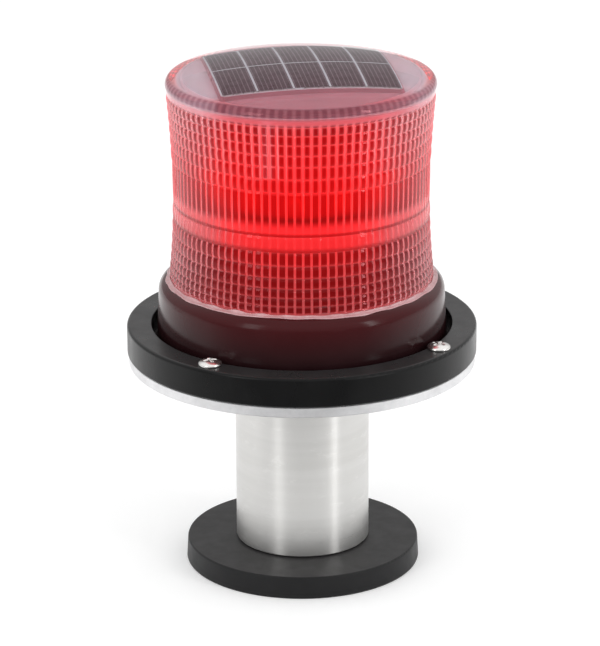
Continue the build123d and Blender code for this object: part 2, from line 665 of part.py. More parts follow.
# Contacts: a flat plate at each nub, and a bowed leaf at each cell's back.
with BuildPart() as battery_contacts:
    for y, way in cell_rows:
        wall_x = way * HOLDER_INNER_LENGTH / 2
        with Locations((wall_x - way * CONTACT_T / 2, y, CELL_AXIS_Z)):
            Box(CONTACT_T, *CONTACT_PLATE)
        bow = HOLDER_INNER_LENGTH / 2 + CELL_BACK
        with BuildSketch(Plane((0, y - LEAF_WIDTH / 2, CELL_AXIS_Z), x_dir=(-way, 0, 0), z_dir=(0, 1, 0))):
            with BuildLine():
                ThreePointArc(
                    (HOLDER_INNER_LENGTH / 2, -LEAF_HALF),
                    (HOLDER_INNER_LENGTH / 2 - bow, 0),
                    (HOLDER_INNER_LENGTH / 2, LEAF_HALF),
                )
                Line(
                    (HOLDER_INNER_LENGTH / 2, LEAF_HALF),
                    (HOLDER_INNER_LENGTH / 2, LEAF_HALF - CONTACT_T),
                )
                ThreePointArc(
                    (HOLDER_INNER_LENGTH / 2, LEAF_HALF - CONTACT_T),
                    (HOLDER_INNER_LENGTH / 2 - bow + CONTACT_T, 0),
                    (HOLDER_INNER_LENGTH / 2, CONTACT_T - LEAF_HALF),
                )
                Line(
                    (HOLDER_INNER_LENGTH / 2, CONTACT_T - LEAF_HALF),
                    (HOLDER_INNER_LENGTH / 2, -LEAF_HALF),
                )
            make_face()
        extrude(amount=LEAF_WIDTH)
battery_contacts.part.label = "battery_contacts"
export_step(battery_contacts.part, "parts/battery_contacts.step")

# Two leads from the holder's ends up to the driver board's underside.
battery_lead_pair = [
    lead(
        (
            (side * BATTERY_LEAD_X, side * BATTERY_LEAD_Y, CELL_AXIS_Z - BATTERY_LEAD_DROP),
            (side * BATTERY_LEAD_X, side * BATTERY_LEAD_Y, SHELF_Z + BATTERY_LEAD_RISE),
            (side * BATTERY_LEAD_PORT[0], side * BATTERY_LEAD_PORT[1], SHELF_TOP),
            (side * BATTERY_LEAD_PORT[0], side * BATTERY_LEAD_PORT[1], DRIVER_BOARD_Z),
        ),
        BATTERY_LEAD_BEND,
    )
    for side in (-1, 1)
]
with BuildPart() as battery_leads:
    add(battery_lead_pair)
battery_leads.part.label = "battery_leads"
export_step(battery_leads.part, "parts/battery_leads.step")

# ================================================================ core: pedestal and driver board

# Pedestal: flange on the shelf, tube, a ledge for the driver board and bosses for the core screws.
with BuildPart() as pedestal:
    with BuildSketch(Plane.XY.offset(SHELF_TOP)):
        Circle(CORE_FLANGE_R)
        Circle(CORE_R - CORE_WALL, mode=Mode.SUBTRACT)
        with PolarLocations(PEDESTAL_SCREW_CIRCLE_R, 4):
            Circle(SMALL_SCREW_R + SMALL_CLEARANCE, mode=Mode.SUBTRACT)
    extrude(amount=CORE_FLANGE_T)
    with BuildSketch(Plane.XY.offset(SHELF_TOP)):
        Circle(CORE_R)
        Circle(CORE_R - CORE_WALL, mode=Mode.SUBTRACT)
    extrude(amount=LAMP_BOARD_Z - SHELF_TOP)
    with BuildSketch(Plane.XY.offset(DRIVER_BOARD_Z)):
        Circle(CORE_R - CORE_WALL)
        Circle(LEDGE_BORE_R, mode=Mode.SUBTRACT)
        with PolarLocations(BOARD_SCREW_CIRCLE_R, 4, start_angle=DIAGONAL):
            Circle(TINY_SCREW_R, mode=Mode.SUBTRACT)
    extrude(amount=-LEDGE_T)
    with BuildSketch(Plane.XY.offset(LAMP_BOARD_Z)):
        with PolarLocations(CORE_SCREW_CIRCLE_R, 3):
            Circle(CORE_LUG_R)
            Circle(SMALL_SCREW_R, mode=Mode.SUBTRACT)
    extrude(amount=-CORE_LUG_T)
pedestal.part.label = "pedestal"
export_step(pedestal.part, "parts/pedestal.step")

# Four screws that hold the pedestal to the shelf.
with BuildPart() as pedestal_screws:
    with PolarLocations(PEDESTAL_SCREW_CIRCLE_R, 4):
        with Locations((0, 0, SHELF_TOP + CORE_FLANGE_T)):
            Cylinder(PEDESTAL_HEAD_R, SMALL_HEAD_T, align=BASE)
            Cylinder(SMALL_SCREW_R, CORE_FLANGE_T + SHELF_T - PEDESTAL_TIP_GAP, align=TOP)
    with PolarLocations(PEDESTAL_SCREW_CIRCLE_R, 4):
        with Locations((0, 0, SHELF_TOP + CORE_FLANGE_T + SMALL_HEAD_T)):
            for turn in (0, 90):
                Box(*SMALL_RECESS, rotation=(0, 0, turn), align=TOP, mode=Mode.SUBTRACT)
pedestal_screws.part.label = "pedestal_screws"
export_step(pedestal_screws.part, "parts/pedestal_screws.step")

# Round driver board on the ledge.
with BuildPart() as driver_board:
    with BuildSketch(Plane.XY.offset(DRIVER_BOARD_Z)):
        Circle(DRIVER_BOARD_R)
        with PolarLocations(BOARD_SCREW_CIRCLE_R, 4, start_angle=DIAGONAL):
            Circle(TINY_SCREW_R, mode=Mode.SUBTRACT)
    extrude(amount=BOARD_T)
driver_board.part.label = "driver_board"
export_step(driver_board.part, "parts/driver_board.step")

# Four screws that hold the driver board to the ledge.
with BuildPart() as board_screws:
    with PolarLocations(BOARD_SCREW_CIRCLE_R, 4, start_angle=DIAGONAL):
        with Locations((0, 0, DRIVER_TOP_Z)):
            Cylinder(BOARD_SCREW_HEAD_R, BOARD_SCREW_HEAD_T, align=BASE)
            Cylinder(TINY_SCREW_R, BOARD_T + LEDGE_T - BOARD_SCREW_TIP_GAP, align=TOP)
board_screws.part.label = "board_screws"
export_step(board_screws.part, "parts/board_screws.step")

# Charge and flash controller chip with its rows of pins.
with BuildPart() as driver_chip:
    with Locations((0, CHIP_Y, DRIVER_TOP_Z)):
        with Locations((0, 0, CHIP_STANDOFF)):
            Box(*CHIP, align=BASE)
        with GridLocations(*CHIP_PIN_PITCH, 4, 2):
            Box(*CHIP_PIN, align=BASE)
driver_chip.part.label = "driver_chip"
export_step(driver_chip.part, "parts/driver_chip.step")

# Boost inductor.
with BuildPart() as driver_inductor:
    with Locations((*INDUCTOR_PLACE, DRIVER_TOP_Z)):
        Box(*INDUCTOR, align=BASE)
    chamfer(driver_inductor.edges().filter_by(Axis.Z), INDUCTOR_CHAMFER)
driver_inductor.part.label = "driver_inductor"
export_step(driver_inductor.part, "parts/driver_inductor.step")

# Two round capacitors.
with BuildPart() as driver_capacitors:
    with Locations(*((*place, DRIVER_TOP_Z) for place in CAPACITOR_PLACES)):
        Cylinder(CAPACITOR_R, CAPACITOR_HEIGHT, align=BASE)
    fillet(driver_capacitors.edges().group_by(Axis.Z)[-1], CAPACITOR_ROUND)
driver_capacitors.part.label = "driver_capacitors"
export_step(driver_capacitors.part, "parts/driver_capacitors.step")

# Two-pin sockets for the lamp leads and the panel leads.
with BuildPart() as lead_sockets:
    with Locations((0, PANEL_SOCKET_Y, DRIVER_TOP_Z), (0, LAMP_SOCKET_Y, DRIVER_TOP_Z)):
        Box(*SOCKET_SIZE, SOCKET_HEIGHT, align=BASE)
lead_sockets.part.label = "lead_sockets"
export_step(lead_sockets.part, "parts/lead_sockets.step")

# ================================================================ core: lamps

# Ring-shaped lamp board on the pedestal's rim.
with BuildPart() as lamp_board:
    with BuildSketch(Plane.XY.offset(LAMP_BOARD_Z)):
        Circle(CORE_R)
        Circle(LAMP_BOARD_BORE_R, mode=Mode.SUBTRACT)
        with PolarLocations(CORE_SCREW_CIRCLE_R, 3):
            Circle(SMALL_SCREW_R + CORE_HOLE_GAP, mode=Mode.SUBTRACT)
    extrude(amount=BOARD_T)
lamp_board.part.label = "lamp_board"
export_step(lamp_board.part, "parts/lamp_board.step")

# Holder ring with a bore for each lamp and lugs for the core screws.
with BuildPart() as lamp_holder:
    with BuildSketch(Plane.XY.offset(LAMP_BOARD_TOP)):
        Circle(LAMP_HOLDER_R)
        Circle(LAMP_HOLDER_R - LAMP_HOLDER_WALL, mode=Mode.SUBTRACT)
        with PolarLocations(CORE_SCREW_CIRCLE_R, 3):
            Circle(CORE_LUG_R)
            Circle(SMALL_SCREW_R + CORE_HOLE_GAP, mode=Mode.SUBTRACT)
    extrude(amount=HOLDER_TOP_Z - LAMP_BOARD_TOP)
    with Locations(*lamp_planes):
        Cylinder(LAMP_R + CORE_HOLE_GAP, LAMP_LENGTH, align=BASE, mode=Mode.SUBTRACT)
lamp_holder.part.label = "lamp_holder"
export_step(lamp_holder.part, "parts/lamp_holder.step")

# Round lamps that look outwards through the lens belt.
with BuildPart() as lamps:
    with Locations(*lamp_planes):
        Cylinder(LAMP_RIM_R, LAMP_RIM_T, align=BASE)
        Cylinder(LAMP_R, LAMP_LENGTH - LAMP_R, align=BASE)
        with Locations((0, 0, LAMP_LENGTH - LAMP_R)):
            Sphere(LAMP_R)
lamps.part.label = "lamps"
export_step(lamps.part, "parts/lamps.step")

# Two bent legs from each lamp, inwards and down to the lamp board.
with BuildPart() as lamp_legs:
    with Locations(*lamp_planes):
        for side in (-1, 1):
            with Locations((side * LEG_SPACING / 2, LEG_T / 2, 0)):
                Box(LEG_T, LEG_T, LEG_REACH, align=(Align.CENTER, Align.MAX, Align.MAX))
            with Locations((side * LEG_SPACING / 2, LEG_T / 2, -LEG_REACH)):
                Box(LEG_T, LEG_DROP, LEG_T, align=(Align.CENTER, Align.MAX, Align.MIN))
lamp_legs.part.label = "lamp_legs"
export_step(lamp_legs.part, "parts/lamp_legs.step")

# Two leads from the driver board's socket up to the lamp board's underside.
lamp_lead_pair = [
    lead(
        (
            (side * SOCKET_PIN_X, LAMP_SOCKET_Y, SOCKET_TOP),
            (side * SOCKET_PIN_X, LAMP_SOCKET_Y, SOCKET_TOP + LAMP_LEAD_RISE),
            (side * SOCKET_PIN_X, LAMP_SOCKET_Y - LAMP_LEAD_SHIFT, LAMP_BOARD_Z - LAMP_LEAD_RISE),
            (side * SOCKET_PIN_X, LAMP_SOCKET_Y - LAMP_LEAD_SHIFT, LAMP_BOARD_Z),
        ),
        LAMP_LEAD_BEND,
    )
    for side in (-1, 1)
]
with BuildPart() as lamp_leads:
    add(lamp_lead_pair)
lamp_leads.part.label = "lamp_leads"
export_step(lamp_leads.part, "parts/lamp_leads.step")

# Hollow cap over the lamps, with a clamping flange below and a hole for the panel leads on top.
with BuildPart() as core_cap:
    with BuildSketch(Plane.XY.offset(HOLDER_TOP_Z)):
        Circle(CORE_R)
        Circle(CORE_R - CORE_WALL, mode=Mode.SUBTRACT)
    extrude(amount=CAP_TOP - HOLDER_TOP_Z)
    with BuildSketch(Plane.XY.offset(CAP_TOP)):
        Circle(CORE_R)
        Circle(CAP_HOLE_R, mode=Mode.SUBTRACT)
    extrude(amount=-CORE_WALL)
    with BuildSketch(Plane.XY.offset(HOLDER_TOP_Z)):
        Circle(CORE_R)
        Circle(CORE_SCREW_CIRCLE_R - CORE_LUG_R - CAP_FLANGE_MARGIN, mode=Mode.SUBTRACT)
        with PolarLocations(CORE_SCREW_CIRCLE_R, 3):
            Circle(SMALL_SCREW_R + CORE_HOLE_GAP, mode=Mode.SUBTRACT)
    extrude(amount=CORE_WALL)
core_cap.part.label = "core_cap"
export_step(core_cap.part, "parts/core_cap.step")

# Three long screws through cap, holder and lamp board into the pedestal.
with BuildPart() as core_screws:
    with PolarLocations(CORE_SCREW_CIRCLE_R, 3):
        with Locations((0, 0, HOLDER_TOP_Z + CORE_WALL)):
            Cylinder(CORE_SCREW_HEAD_R, SMALL_HEAD_T, align=BASE)
            Cylinder(SMALL_SCREW_R, HOLDER_TOP_Z + CORE_WALL - LAMP_BOARD_Z + CORE_SCREW_DEPTH, align=TOP)
core_screws.part.label = "core_screws"
export_step(core_screws.part, "parts/core_screws.step")

# ================================================================ lens

# Flat gasket under the lens foot.
with BuildPart() as lens_gasket:
    with BuildSketch(Plane.XY.offset(SHELF_TOP)):
        Circle(LENS_FOOT_R)
        Circle(LENS_BORE_R + GASKET_BORE_GAP, mode=Mode.SUBTRACT)
    extrude(amount=LENS_SEAT_T)
lens_gasket.part.label = "lens_gasket"
export_step(lens_gasket.part, "parts/lens_gasket.step")

# Clear lens: waisted wall with ring grooves, and a thick dome with a flat pocket for the panel.
with BuildPart() as lens:
    with BuildSketch(Plane.XZ):
        with BuildLine():
            lower_mid_z = (LENS_FOOT_TOP + LENS_WAIST_Z) / 2
            upper_mid_z = (LENS_WAIST_Z + LENS_RIM_Z) / 2
            Polyline(
                (LENS_BORE_R, LENS_FOOT_Z),
                (LENS_FOOT_R, LENS_FOOT_Z),
                (LENS_FOOT_R, LENS_FOOT_TOP),
            )
            ThreePointArc(
                (LENS_FOOT_R, LENS_FOOT_TOP),
                (lens_radius(lower_mid_z), lower_mid_z),
                (LENS_WAIST_R, LENS_WAIST_Z),
            )
            ThreePointArc(
                (LENS_WAIST_R, LENS_WAIST_Z),
                (lens_radius(upper_mid_z), upper_mid_z),
                (LENS_RIM_R, LENS_RIM_Z),
            )
            Line((LENS_RIM_R, LENS_RIM_Z), (LENS_RIM_R, dome_z(LENS_RIM_R)))
            ThreePointArc(
                (LENS_RIM_R, dome_z(LENS_RIM_R)),
                (LENS_RIM_R / 2, dome_z(LENS_RIM_R / 2)),
                (0, DOME_TOP),
            )
            Polyline(
                (0, DOME_TOP),
                (0, DOME_UNDERSIDE),
                (LENS_BORE_R, DOME_UNDERSIDE),
                (LENS_BORE_R, LENS_FOOT_Z),
            )
        make_face()
    revolve(axis=Axis.Z)
    circles = lens.edges().filter_by(GeomType.CIRCLE)
    rim_edges = circles.filter_by(lambda e: abs(e.center().Z - dome_z(LENS_RIM_R)) < TOLERANCE)
    fillet(rim_edges, LENS_RIM_ROUND)
    inner_edges = lens.edges().filter_by(lambda e: abs(e.center().Z - DOME_UNDERSIDE) < TOLERANCE)
    fillet(inner_edges, LENS_INNER_ROUND)
    with BuildSketch(Plane.XZ):
        for z in ring_levels():
            wall_r = lens_radius(z)
            Polygon(
                (wall_r - GROOVE_DEPTH, z),
                (wall_r + GROOVE_OVERCUT, z - GROOVE_HALF),
                (wall_r + GROOVE_OVERCUT, z + GROOVE_HALF),
                align=None,
            )
    revolve(axis=Axis.Z, mode=Mode.SUBTRACT)
    with BuildSketch(PANEL_PLANE.offset(DOME_UNDERSIDE)) as pocket:
        Rectangle(*POCKET_SIZE)
        chamfer(pocket.vertices(), PANEL_CORNER)
    extrude(amount=PANEL_POCKET_TOP - DOME_UNDERSIDE, mode=Mode.SUBTRACT)
lens.part.label = "lens"
export_step(lens.part, "parts/lens.step")

# Bead of clear sealant that fills the joint between the lens and the collar's lip.
with BuildPart() as lens_sealant:
    with BuildSketch(Plane.XZ):
        with BuildLine():
            bead_mid_r = (REBATE_R + BEAD_OUTER_R) / 2
            ThreePointArc(
                (REBATE_R, collar_arc_z(REBATE_R)),
                (bead_mid_r, collar_arc_z(bead_mid_r)),
                (BEAD_OUTER_R, collar_arc_z(BEAD_OUTER_R)),
            )
            Polyline(
                (BEAD_OUTER_R, collar_arc_z(BEAD_OUTER_R)),
                (LENS_FOOT_R + BEAD_LIP, BEAD_TOP),
                (LENS_FOOT_R, BEAD_TOP),
                (LENS_FOOT_R, BEAD_TOP - BEAD_DEPTH),
                (REBATE_R, BEAD_TOP - BEAD_DEPTH),
                (REBATE_R, collar_arc_z(REBATE_R)),
            )
        make_face()
    revolve(axis=Axis.Z)
lens_sealant.part.label = "lens_sealant"
export_step(lens_sealant.part, "parts/lens_sealant.step")

# ================================================================ solar panel

# Resin that closes the pocket under the panel.
with BuildPart() as panel_potting:
    with BuildSketch(PANEL_PLANE.offset(DOME_UNDERSIDE)) as potting_outline:
        Rectangle(*POCKET_SIZE)
        chamfer(potting_outline.vertices(), PANEL_CORNER)
    extrude(amount=PANEL_Z - DOME_UNDERSIDE)
panel_potting.part.label = "panel_potting"
export_step(panel_potting.part, "parts/panel_potting.step")

# White panel board.
with BuildPart() as panel_board:
    with BuildSketch(PANEL_PLANE.offset(PANEL_Z)) as board_outline:
        Rectangle(*PANEL_SIZE)
        chamfer(board_outline.vertices(), PANEL_CORNER)
    extrude(amount=PANEL_BOARD_T)
panel_board.part.label = "panel_board"
export_step(panel_board.part, "parts/panel_board.step")

# Solar cells in rows on the board.
with BuildPart() as solar_cells:
    with BuildSketch(PANEL_PLANE.offset(PANEL_TOP)):
        with GridLocations(*SOLAR_PITCH, CELL_COLUMNS, CELL_ROWS):
            Rectangle(*SOLAR_CELL)
    extrude(amount=SOLAR_CELL_T)
solar_cells.part.label = "solar_cells"
export_step(solar_cells.part, "parts/solar_cells.step")

# Two tinned strips along the board's front border.
with BuildPart() as panel_strips:
    with BuildSketch(PANEL_PLANE.offset(PANEL_TOP)):
        for start, end in ((-CELLS_HALF_WIDTH, STRIP_GAP[0]), (STRIP_GAP[1], CELLS_HALF_WIDTH)):
            with Locations(((start + end) / 2, STRIP_Y)):
                Rectangle(end - start, STRIP_WIDTH)
    extrude(amount=STRIP_T)
panel_strips.part.label = "panel_strips"
export_step(panel_strips.part, "parts/panel_strips.step")

# Two leads from the panel down through the core to the driver board's socket.
panel_lead_pair = [
    lead(
        (
            (side * SOCKET_PIN_X, PANEL_LEAD_ROUTE[0][0], DOME_UNDERSIDE),
            *((side * SOCKET_PIN_X, y, z) for y, z in PANEL_LEAD_ROUTE),
            (side * SOCKET_PIN_X, PANEL_SOCKET_Y, PANEL_LEAD_LOW_Z),
            (side * SOCKET_PIN_X, PANEL_SOCKET_Y, SOCKET_TOP),
        ),
        PANEL_LEAD_BEND,
    )
    for side in (-1, 1)
]
with BuildPart() as panel_leads:
    add(panel_lead_pair)
panel_leads.part.label = "panel_leads"
export_step(panel_leads.part, "parts/panel_leads.step")
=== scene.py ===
"""Solar warning light: detailed pieces, materials, light and camera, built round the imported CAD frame."""
import json
import math

import bpy
import numpy as np
from mathutils import Matrix, Vector


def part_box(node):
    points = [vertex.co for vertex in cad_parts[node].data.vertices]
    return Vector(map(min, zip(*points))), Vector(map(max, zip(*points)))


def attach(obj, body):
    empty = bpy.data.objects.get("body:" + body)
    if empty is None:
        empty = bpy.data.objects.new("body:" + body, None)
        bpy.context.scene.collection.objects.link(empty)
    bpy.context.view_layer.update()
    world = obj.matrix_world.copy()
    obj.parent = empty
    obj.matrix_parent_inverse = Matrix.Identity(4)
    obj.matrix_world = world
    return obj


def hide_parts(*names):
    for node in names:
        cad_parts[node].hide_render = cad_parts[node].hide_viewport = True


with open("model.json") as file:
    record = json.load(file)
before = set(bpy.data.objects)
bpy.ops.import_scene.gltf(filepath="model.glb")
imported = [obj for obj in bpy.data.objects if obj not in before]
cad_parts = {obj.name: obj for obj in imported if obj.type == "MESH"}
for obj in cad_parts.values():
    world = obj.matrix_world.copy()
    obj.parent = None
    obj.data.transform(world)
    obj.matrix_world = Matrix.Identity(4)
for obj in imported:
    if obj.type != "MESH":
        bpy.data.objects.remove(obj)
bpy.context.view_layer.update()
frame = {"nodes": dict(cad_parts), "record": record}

MM = 0.001
LIGHT_BODY = "light"

# ---------------------------------------------------------------- lens dimensions of the CAD, in mm

LENS_LOW, LENS_HIGH = (corner.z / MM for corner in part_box("lens"))
LENS_BORE_R = 44.2
INNER_ROUND = 2.0
LENS_FOOT_R = 48.75
LENS_FOOT_TOP = 114.8
LENS_WAIST_R = 47.27
LENS_WAIST_Z = 143.0
LENS_RIM_R = 49.5
LENS_RIM_Z = 184.0
DOME_R = 187.0
RIM_ROUND = 3.0
DOME_UNDERSIDE = 183.95
BELT_LOW = 140.6
BELT_HIGH = 156.8
RINGS_BELOW = 7
RINGS_ABOVE = 6
FIRST_PITCH_BELOW = 5.7
PITCH_RATIO_BELOW = 0.88
FIRST_PITCH_ABOVE = 5.1
PITCH_RATIO_ABOVE = 0.91
FLUTES = 100
PANEL_TURN = math.radians(-3.0)

# ---------------------------------------------------------------- material helper


class Shader:
    """One procedural material: a Principled shader and the nodes that feed it."""

    def __init__(self, name, **constants):
        self.material = bpy.data.materials.new(name)
        self.material.use_nodes = True
        self.tree = self.material.node_tree
        self.bsdf = self.tree.nodes["Principled BSDF"]
        for socket, value in constants.items():
            self.set(socket.replace("_", " "), value)

    def set(self, socket, value):
        """Feed a value or another node's output to one of the shader's sockets."""
        self.feed(value, self.bsdf.inputs[socket])

    def feed(self, value, socket):
        """Link another node's output to a socket, or give the socket a plain value."""
        if isinstance(value, bpy.types.NodeSocket):
            self.tree.links.new(value, socket)
        else:
            socket.default_value = value

    def fed(self, socket):
        """The output that feeds one of the shader's sockets now."""
        return self.bsdf.inputs[socket].links[0].from_socket

    def node(self, kind, inputs=None, **settings):
        """Add a node with its settings and inputs, and return it."""
        made = self.tree.nodes.new(kind)
        for key, value in settings.items():
            setattr(made, key, value)
        for key, value in (inputs or {}).items():
            self.feed(value, made.inputs[key])
        return made

    def coords(self, stretch=(1, 1, 1), turn=0.0):
        """Object coordinates in millimetres, stretched and turned about Z."""
        where = self.node("ShaderNodeTexCoord").outputs["Object"]
        scale = tuple(s / MM for s in stretch)
        made = self.node("ShaderNodeMapping", {"Vector": where, "Scale": scale, "Rotation": (0, 0, turn)})
        return made.outputs["Vector"]

    def axis(self, letter, turn=0.0):
        """One object coordinate in millimetres, on axes turned about Z."""
        return self.node("ShaderNodeSeparateXYZ", {"Vector": self.coords(turn=turn)}).outputs[letter]

    def layer(self, name):
        """A number that the mesh carries at each of its points."""
        return self.node("ShaderNodeAttribute", attribute_name=name).outputs["Fac"]

    def noise(self, size, detail=3.0, stretch=(1, 1, 1), rough=0.5):
        """Noise whose lumps are about size millimetres across."""
        inputs = {"Vector": self.coords(stretch), "Scale": 1 / size, "Detail": detail, "Roughness": rough}
        return self.node("ShaderNodeTexNoise", inputs).outputs["Fac"]

    def span(self, value, low, high, to_low, to_high):
        """A value remapped from one range to another, clamped."""
        inputs = {"Value": value, "From Min": low, "From Max": high, "To Min": to_low, "To Max": to_high}
        return self.node("ShaderNodeMapRange", inputs).outputs["Result"]

    def maths(self, operation, a, b=0.0):
        """The result of one operation on one or two values."""
        return self.node("ShaderNodeMath", {0: a, 1: b}, operation=operation).outputs[0]

    def blend(self, factor, a, b):
        """Two colours mixed by a factor."""
        made = self.node("ShaderNodeMix", data_type="RGBA")
        self.feed(factor, made.inputs[0])
        self.feed(rgba(a), made.inputs[6])
        self.feed(rgba(b), made.inputs[7])
        return made.outputs[2]

    def bump(self, height, depth):
        """Bump from a height of 0 to 1 that is depth millimetres deep."""
        inputs = {"Height": height, "Distance": depth * MM}
        self.set("Normal", self.node("ShaderNodeBump", inputs).outputs["Normal"])


def rgba(colour):
    """A colour with its alpha, or the socket it is."""
    if isinstance(colour, bpy.types.NodeSocket):
        return colour
    return tuple(colour) + (1.0,) * (4 - len(colour))


# ---------------------------------------------------------------- materials


def plastic(name, colour, rough, grain=0.25, depth=0.01, tint=0.25, specular=0.2, head_on=1.0):
    """Moulded plastic: faint cloudy colour, a fine moulded grain and handling marks in its gloss.

    A head_on below 1 weakens the reflections seen straight on and keeps the grazing ones.
    """
    s = Shader(name, Specular_IOR_Level=specular)
    s.set("Specular Tint", (head_on, head_on, head_on, 1))
    cloud = s.noise(14, 4)
    lighter = tuple(min(1, c * (1 + tint) + 0.004) for c in colour)
    s.set("Base Color", s.blend(cloud, tuple(c * (1 - tint) for c in colour), lighter))
    wipes = s.noise(9, 5, (1, 1, 0.25), 0.62)
    s.set("Roughness", s.span(wipes, 0.3, 0.7, rough * 0.8, min(1, rough * 1.25)))
    s.bump(s.noise(grain, 2), depth)
    return s


def metal(name, colour, rough, stretch=(1, 1, 1), size=1.2, depth=0.004):
    """Bare or plated metal with fine tool marks along one way and uneven polish."""
    s = Shader(name, Metallic=1.0)
    stain = s.noise(22, 5)
    s.set("Base Color", s.blend(stain, tuple(c * 0.86 for c in colour), colour))
    marks = s.noise(size, 4, stretch, 0.7)
    s.set("Roughness", s.span(marks, 0.25, 0.75, rough * 0.7, rough * 1.35))
    s.bump(marks, depth)
    return s


# Grey of the coat on up-facing faces: dust, and painted light on tops lit from above.
DUST_AND_TOP_LIGHT_COLOUR = (0.029, 0.02755, 0.02813)
DUST_AND_TOP_LIGHT_SLOPES = (0.75, 0.98)


def settle_dust_and_top_light(s):
    """A thin, patchy grey coat on the faces that look up: partly dust, partly painted light on tops lit
    from above.
    """
    normal = s.node("ShaderNodeNewGeometry").outputs["Normal"]
    upwards = s.node("ShaderNodeSeparateXYZ", {"Vector": normal}).outputs["Z"]
    lying = s.span(upwards, *DUST_AND_TOP_LIGHT_SLOPES, 0, 1)
    patches = s.span(s.noise(4, 5), 0.2, 0.8, 0.7, 1)
    dust_and_top_light = s.maths("MULTIPLY", lying, patches)
    s.set("Base Color", s.blend(dust_and_top_light, s.fed("Base Color"), DUST_AND_TOP_LIGHT_COLOUR))


def ring_black():
    """Semi-gloss black ring with a little dust and painted top light on its upward faces."""
    s = plastic("ring_black", (0.002, 0.002, 0.0022), 0.3, 0.3, 0.012, specular=0.5, head_on=0.3)
    settle_dust_and_top_light(s)
    return s


def rubber(name, colour, rough=0.46):
    """Rubber: matt, with a dusty bloom, tiny pits and soft rubs."""
    s = Shader(name, Specular_IOR_Level=0.45, Specular_Tint=(0.5, 0.5, 0.5, 1))
    bloom = s.noise(17, 6, rough=0.6)
    paler = tuple(c * 1.15 + 0.001 for c in colour)
    s.set("Base Color", s.blend(s.span(bloom, 0.35, 0.75, 0, 1), colour, paler))
    s.set("Roughness", s.span(s.noise(5, 4), 0.3, 0.7, rough - 0.03, rough + 0.05))
    s.bump(s.noise(0.35, 3), 0.02)
    # Grey coat on up-facing faces: dust, and painted light on tops lit from above.
    settle_dust_and_top_light(s)
    return s


def stem_aluminium():
    """Turned tube: faint fine rings round the axis, broad soft bands and a few light scuffs."""
    s = Shader("stem_aluminium", Metallic=1.0, Anisotropic=0.85, Anisotropic_Rotation=0.25)
    fine = s.noise(1.0, 4, (0.02, 0.02, 6), 0.75)
    bands = s.noise(7, 3, (0.04, 0.04, 1.0), 0.55)
    scuffs = s.noise(11, 6, (1, 1, 2.5), 0.7)
    base = s.blend(s.span(bands, 0.3, 0.7, 0, 1), (0.64, 0.635, 0.615), (0.72, 0.715, 0.7))
    s.set("Base Color", s.blend(s.span(scuffs, 0.56, 0.66, 0, 0.35), base, (0.82, 0.815, 0.8)))
    s.set("Roughness", s.span(fine, 0.25, 0.75, 0.26, 0.38))
    s.bump(fine, 0.006)
    return s


def plate_aluminium():
    """Plate: cloudy milled faces and a turned edge."""
    s = Shader("plate_aluminium", Metallic=1.0)
    cloud = s.noise(7, 6, rough=0.65)
    s.set("Base Color", s.blend(s.span(cloud, 0.3, 0.7, 0, 1), (0.68, 0.68, 0.69), (0.84, 0.84, 0.85)))
    edge = s.noise(0.7, 4, (1, 1, 5), 0.7)
    s.set("Roughness", s.span(edge, 0.25, 0.75, 0.3, 0.52))
    s.bump(edge, 0.02)
    return s


FINGER_PITCH = 1.62


def solar_silicon():
    """Silicon cells: dark wine red, with thin pale fingers and faint crystal cloud."""
    s = Shader("cell_silicon", Specular_IOR_Level=0.25)
    across = s.maths("FRACT", s.maths("MULTIPLY", s.axis("X", -PANEL_TURN), 1 / FINGER_PITCH))
    finger = s.span(s.maths("ABSOLUTE", s.maths("SUBTRACT", across, 0.5)), 0.07, 0.12, 1, 0)
    cloud = s.noise(4.5, 4)
    silicon = s.blend(cloud, (0.04, 0.004, 0.012), (0.07, 0.01, 0.03))
    s.set("Base Color", s.blend(s.maths("MULTIPLY", finger, 0.5), silicon, (0.42, 0.3, 0.36)))
    s.set("Roughness", s.span(cloud, 0.3, 0.7, 0.22, 0.34))
    s.bump(finger, 0.01)
    return s


def board(name, colour):
    """Circuit board: solder mask over faint traces."""
    s = Shader(name, Coat_Weight=0.4, Coat_Roughness=0.12)
    weave = s.noise(0.8, 2)
    traces = s.node("ShaderNodeTexVoronoi", {"Vector": s.coords(), "Scale": 0.35}, distance="CHEBYCHEV")
    lines = s.span(traces.outputs["Distance"], 0.28, 0.33, 0, 0.35)
    s.set("Base Color", s.blend(lines, colour, tuple(min(1, c * 1.7 + 0.02) for c in colour)))
    s.set("Roughness", s.span(weave, 0.3, 0.7, 0.25, 0.4))
    s.bump(lines, 0.03)
    return s


# Painted glow for pieces near the lamps that are no lamps themselves.
GLOW_RED = (1.0, 0.0, 0.004)
GLOW_STRENGTH = 1.3
GLOW_MIDDLE = 153
GLOW_REACH = 34
LENS_GLOW_STRENGTH = 0.28
LENS_GLOW_REACH = 60
POST_GLOW_STRENGTH = 0.8
POST_GLOW_REACH = 40


def glow(s, colour, strength, reach):
    """Painted light: a glow given to a piece that is no lamp, standing in for the lamps' light on it,
    strongest at the lamps' height and fading out over reach mm.
    """
    away = s.maths("DIVIDE", s.maths("SUBTRACT", s.axis("Z"), GLOW_MIDDLE), reach)
    fade = s.maths("EXPONENT", s.maths("MULTIPLY", s.maths("MULTIPLY", away, away), -1.0))
    s.set("Emission Color", rgba(colour))
    s.set("Emission Strength", s.maths("MULTIPLY", fade, strength))


def core_black():
    """Dark plastic core with a painted red glow round the lamps, standing in for their light."""
    s = plastic("core_black", (0.03, 0.004, 0.005), 0.14, specular=0.3)
    glow(s, GLOW_RED, GLOW_STRENGTH, GLOW_REACH)
    return s


# Heights between which painted red light from the lamps grows on the housing.
PAINTED_RED_LIGHT_HEIGHTS = (94, 113)


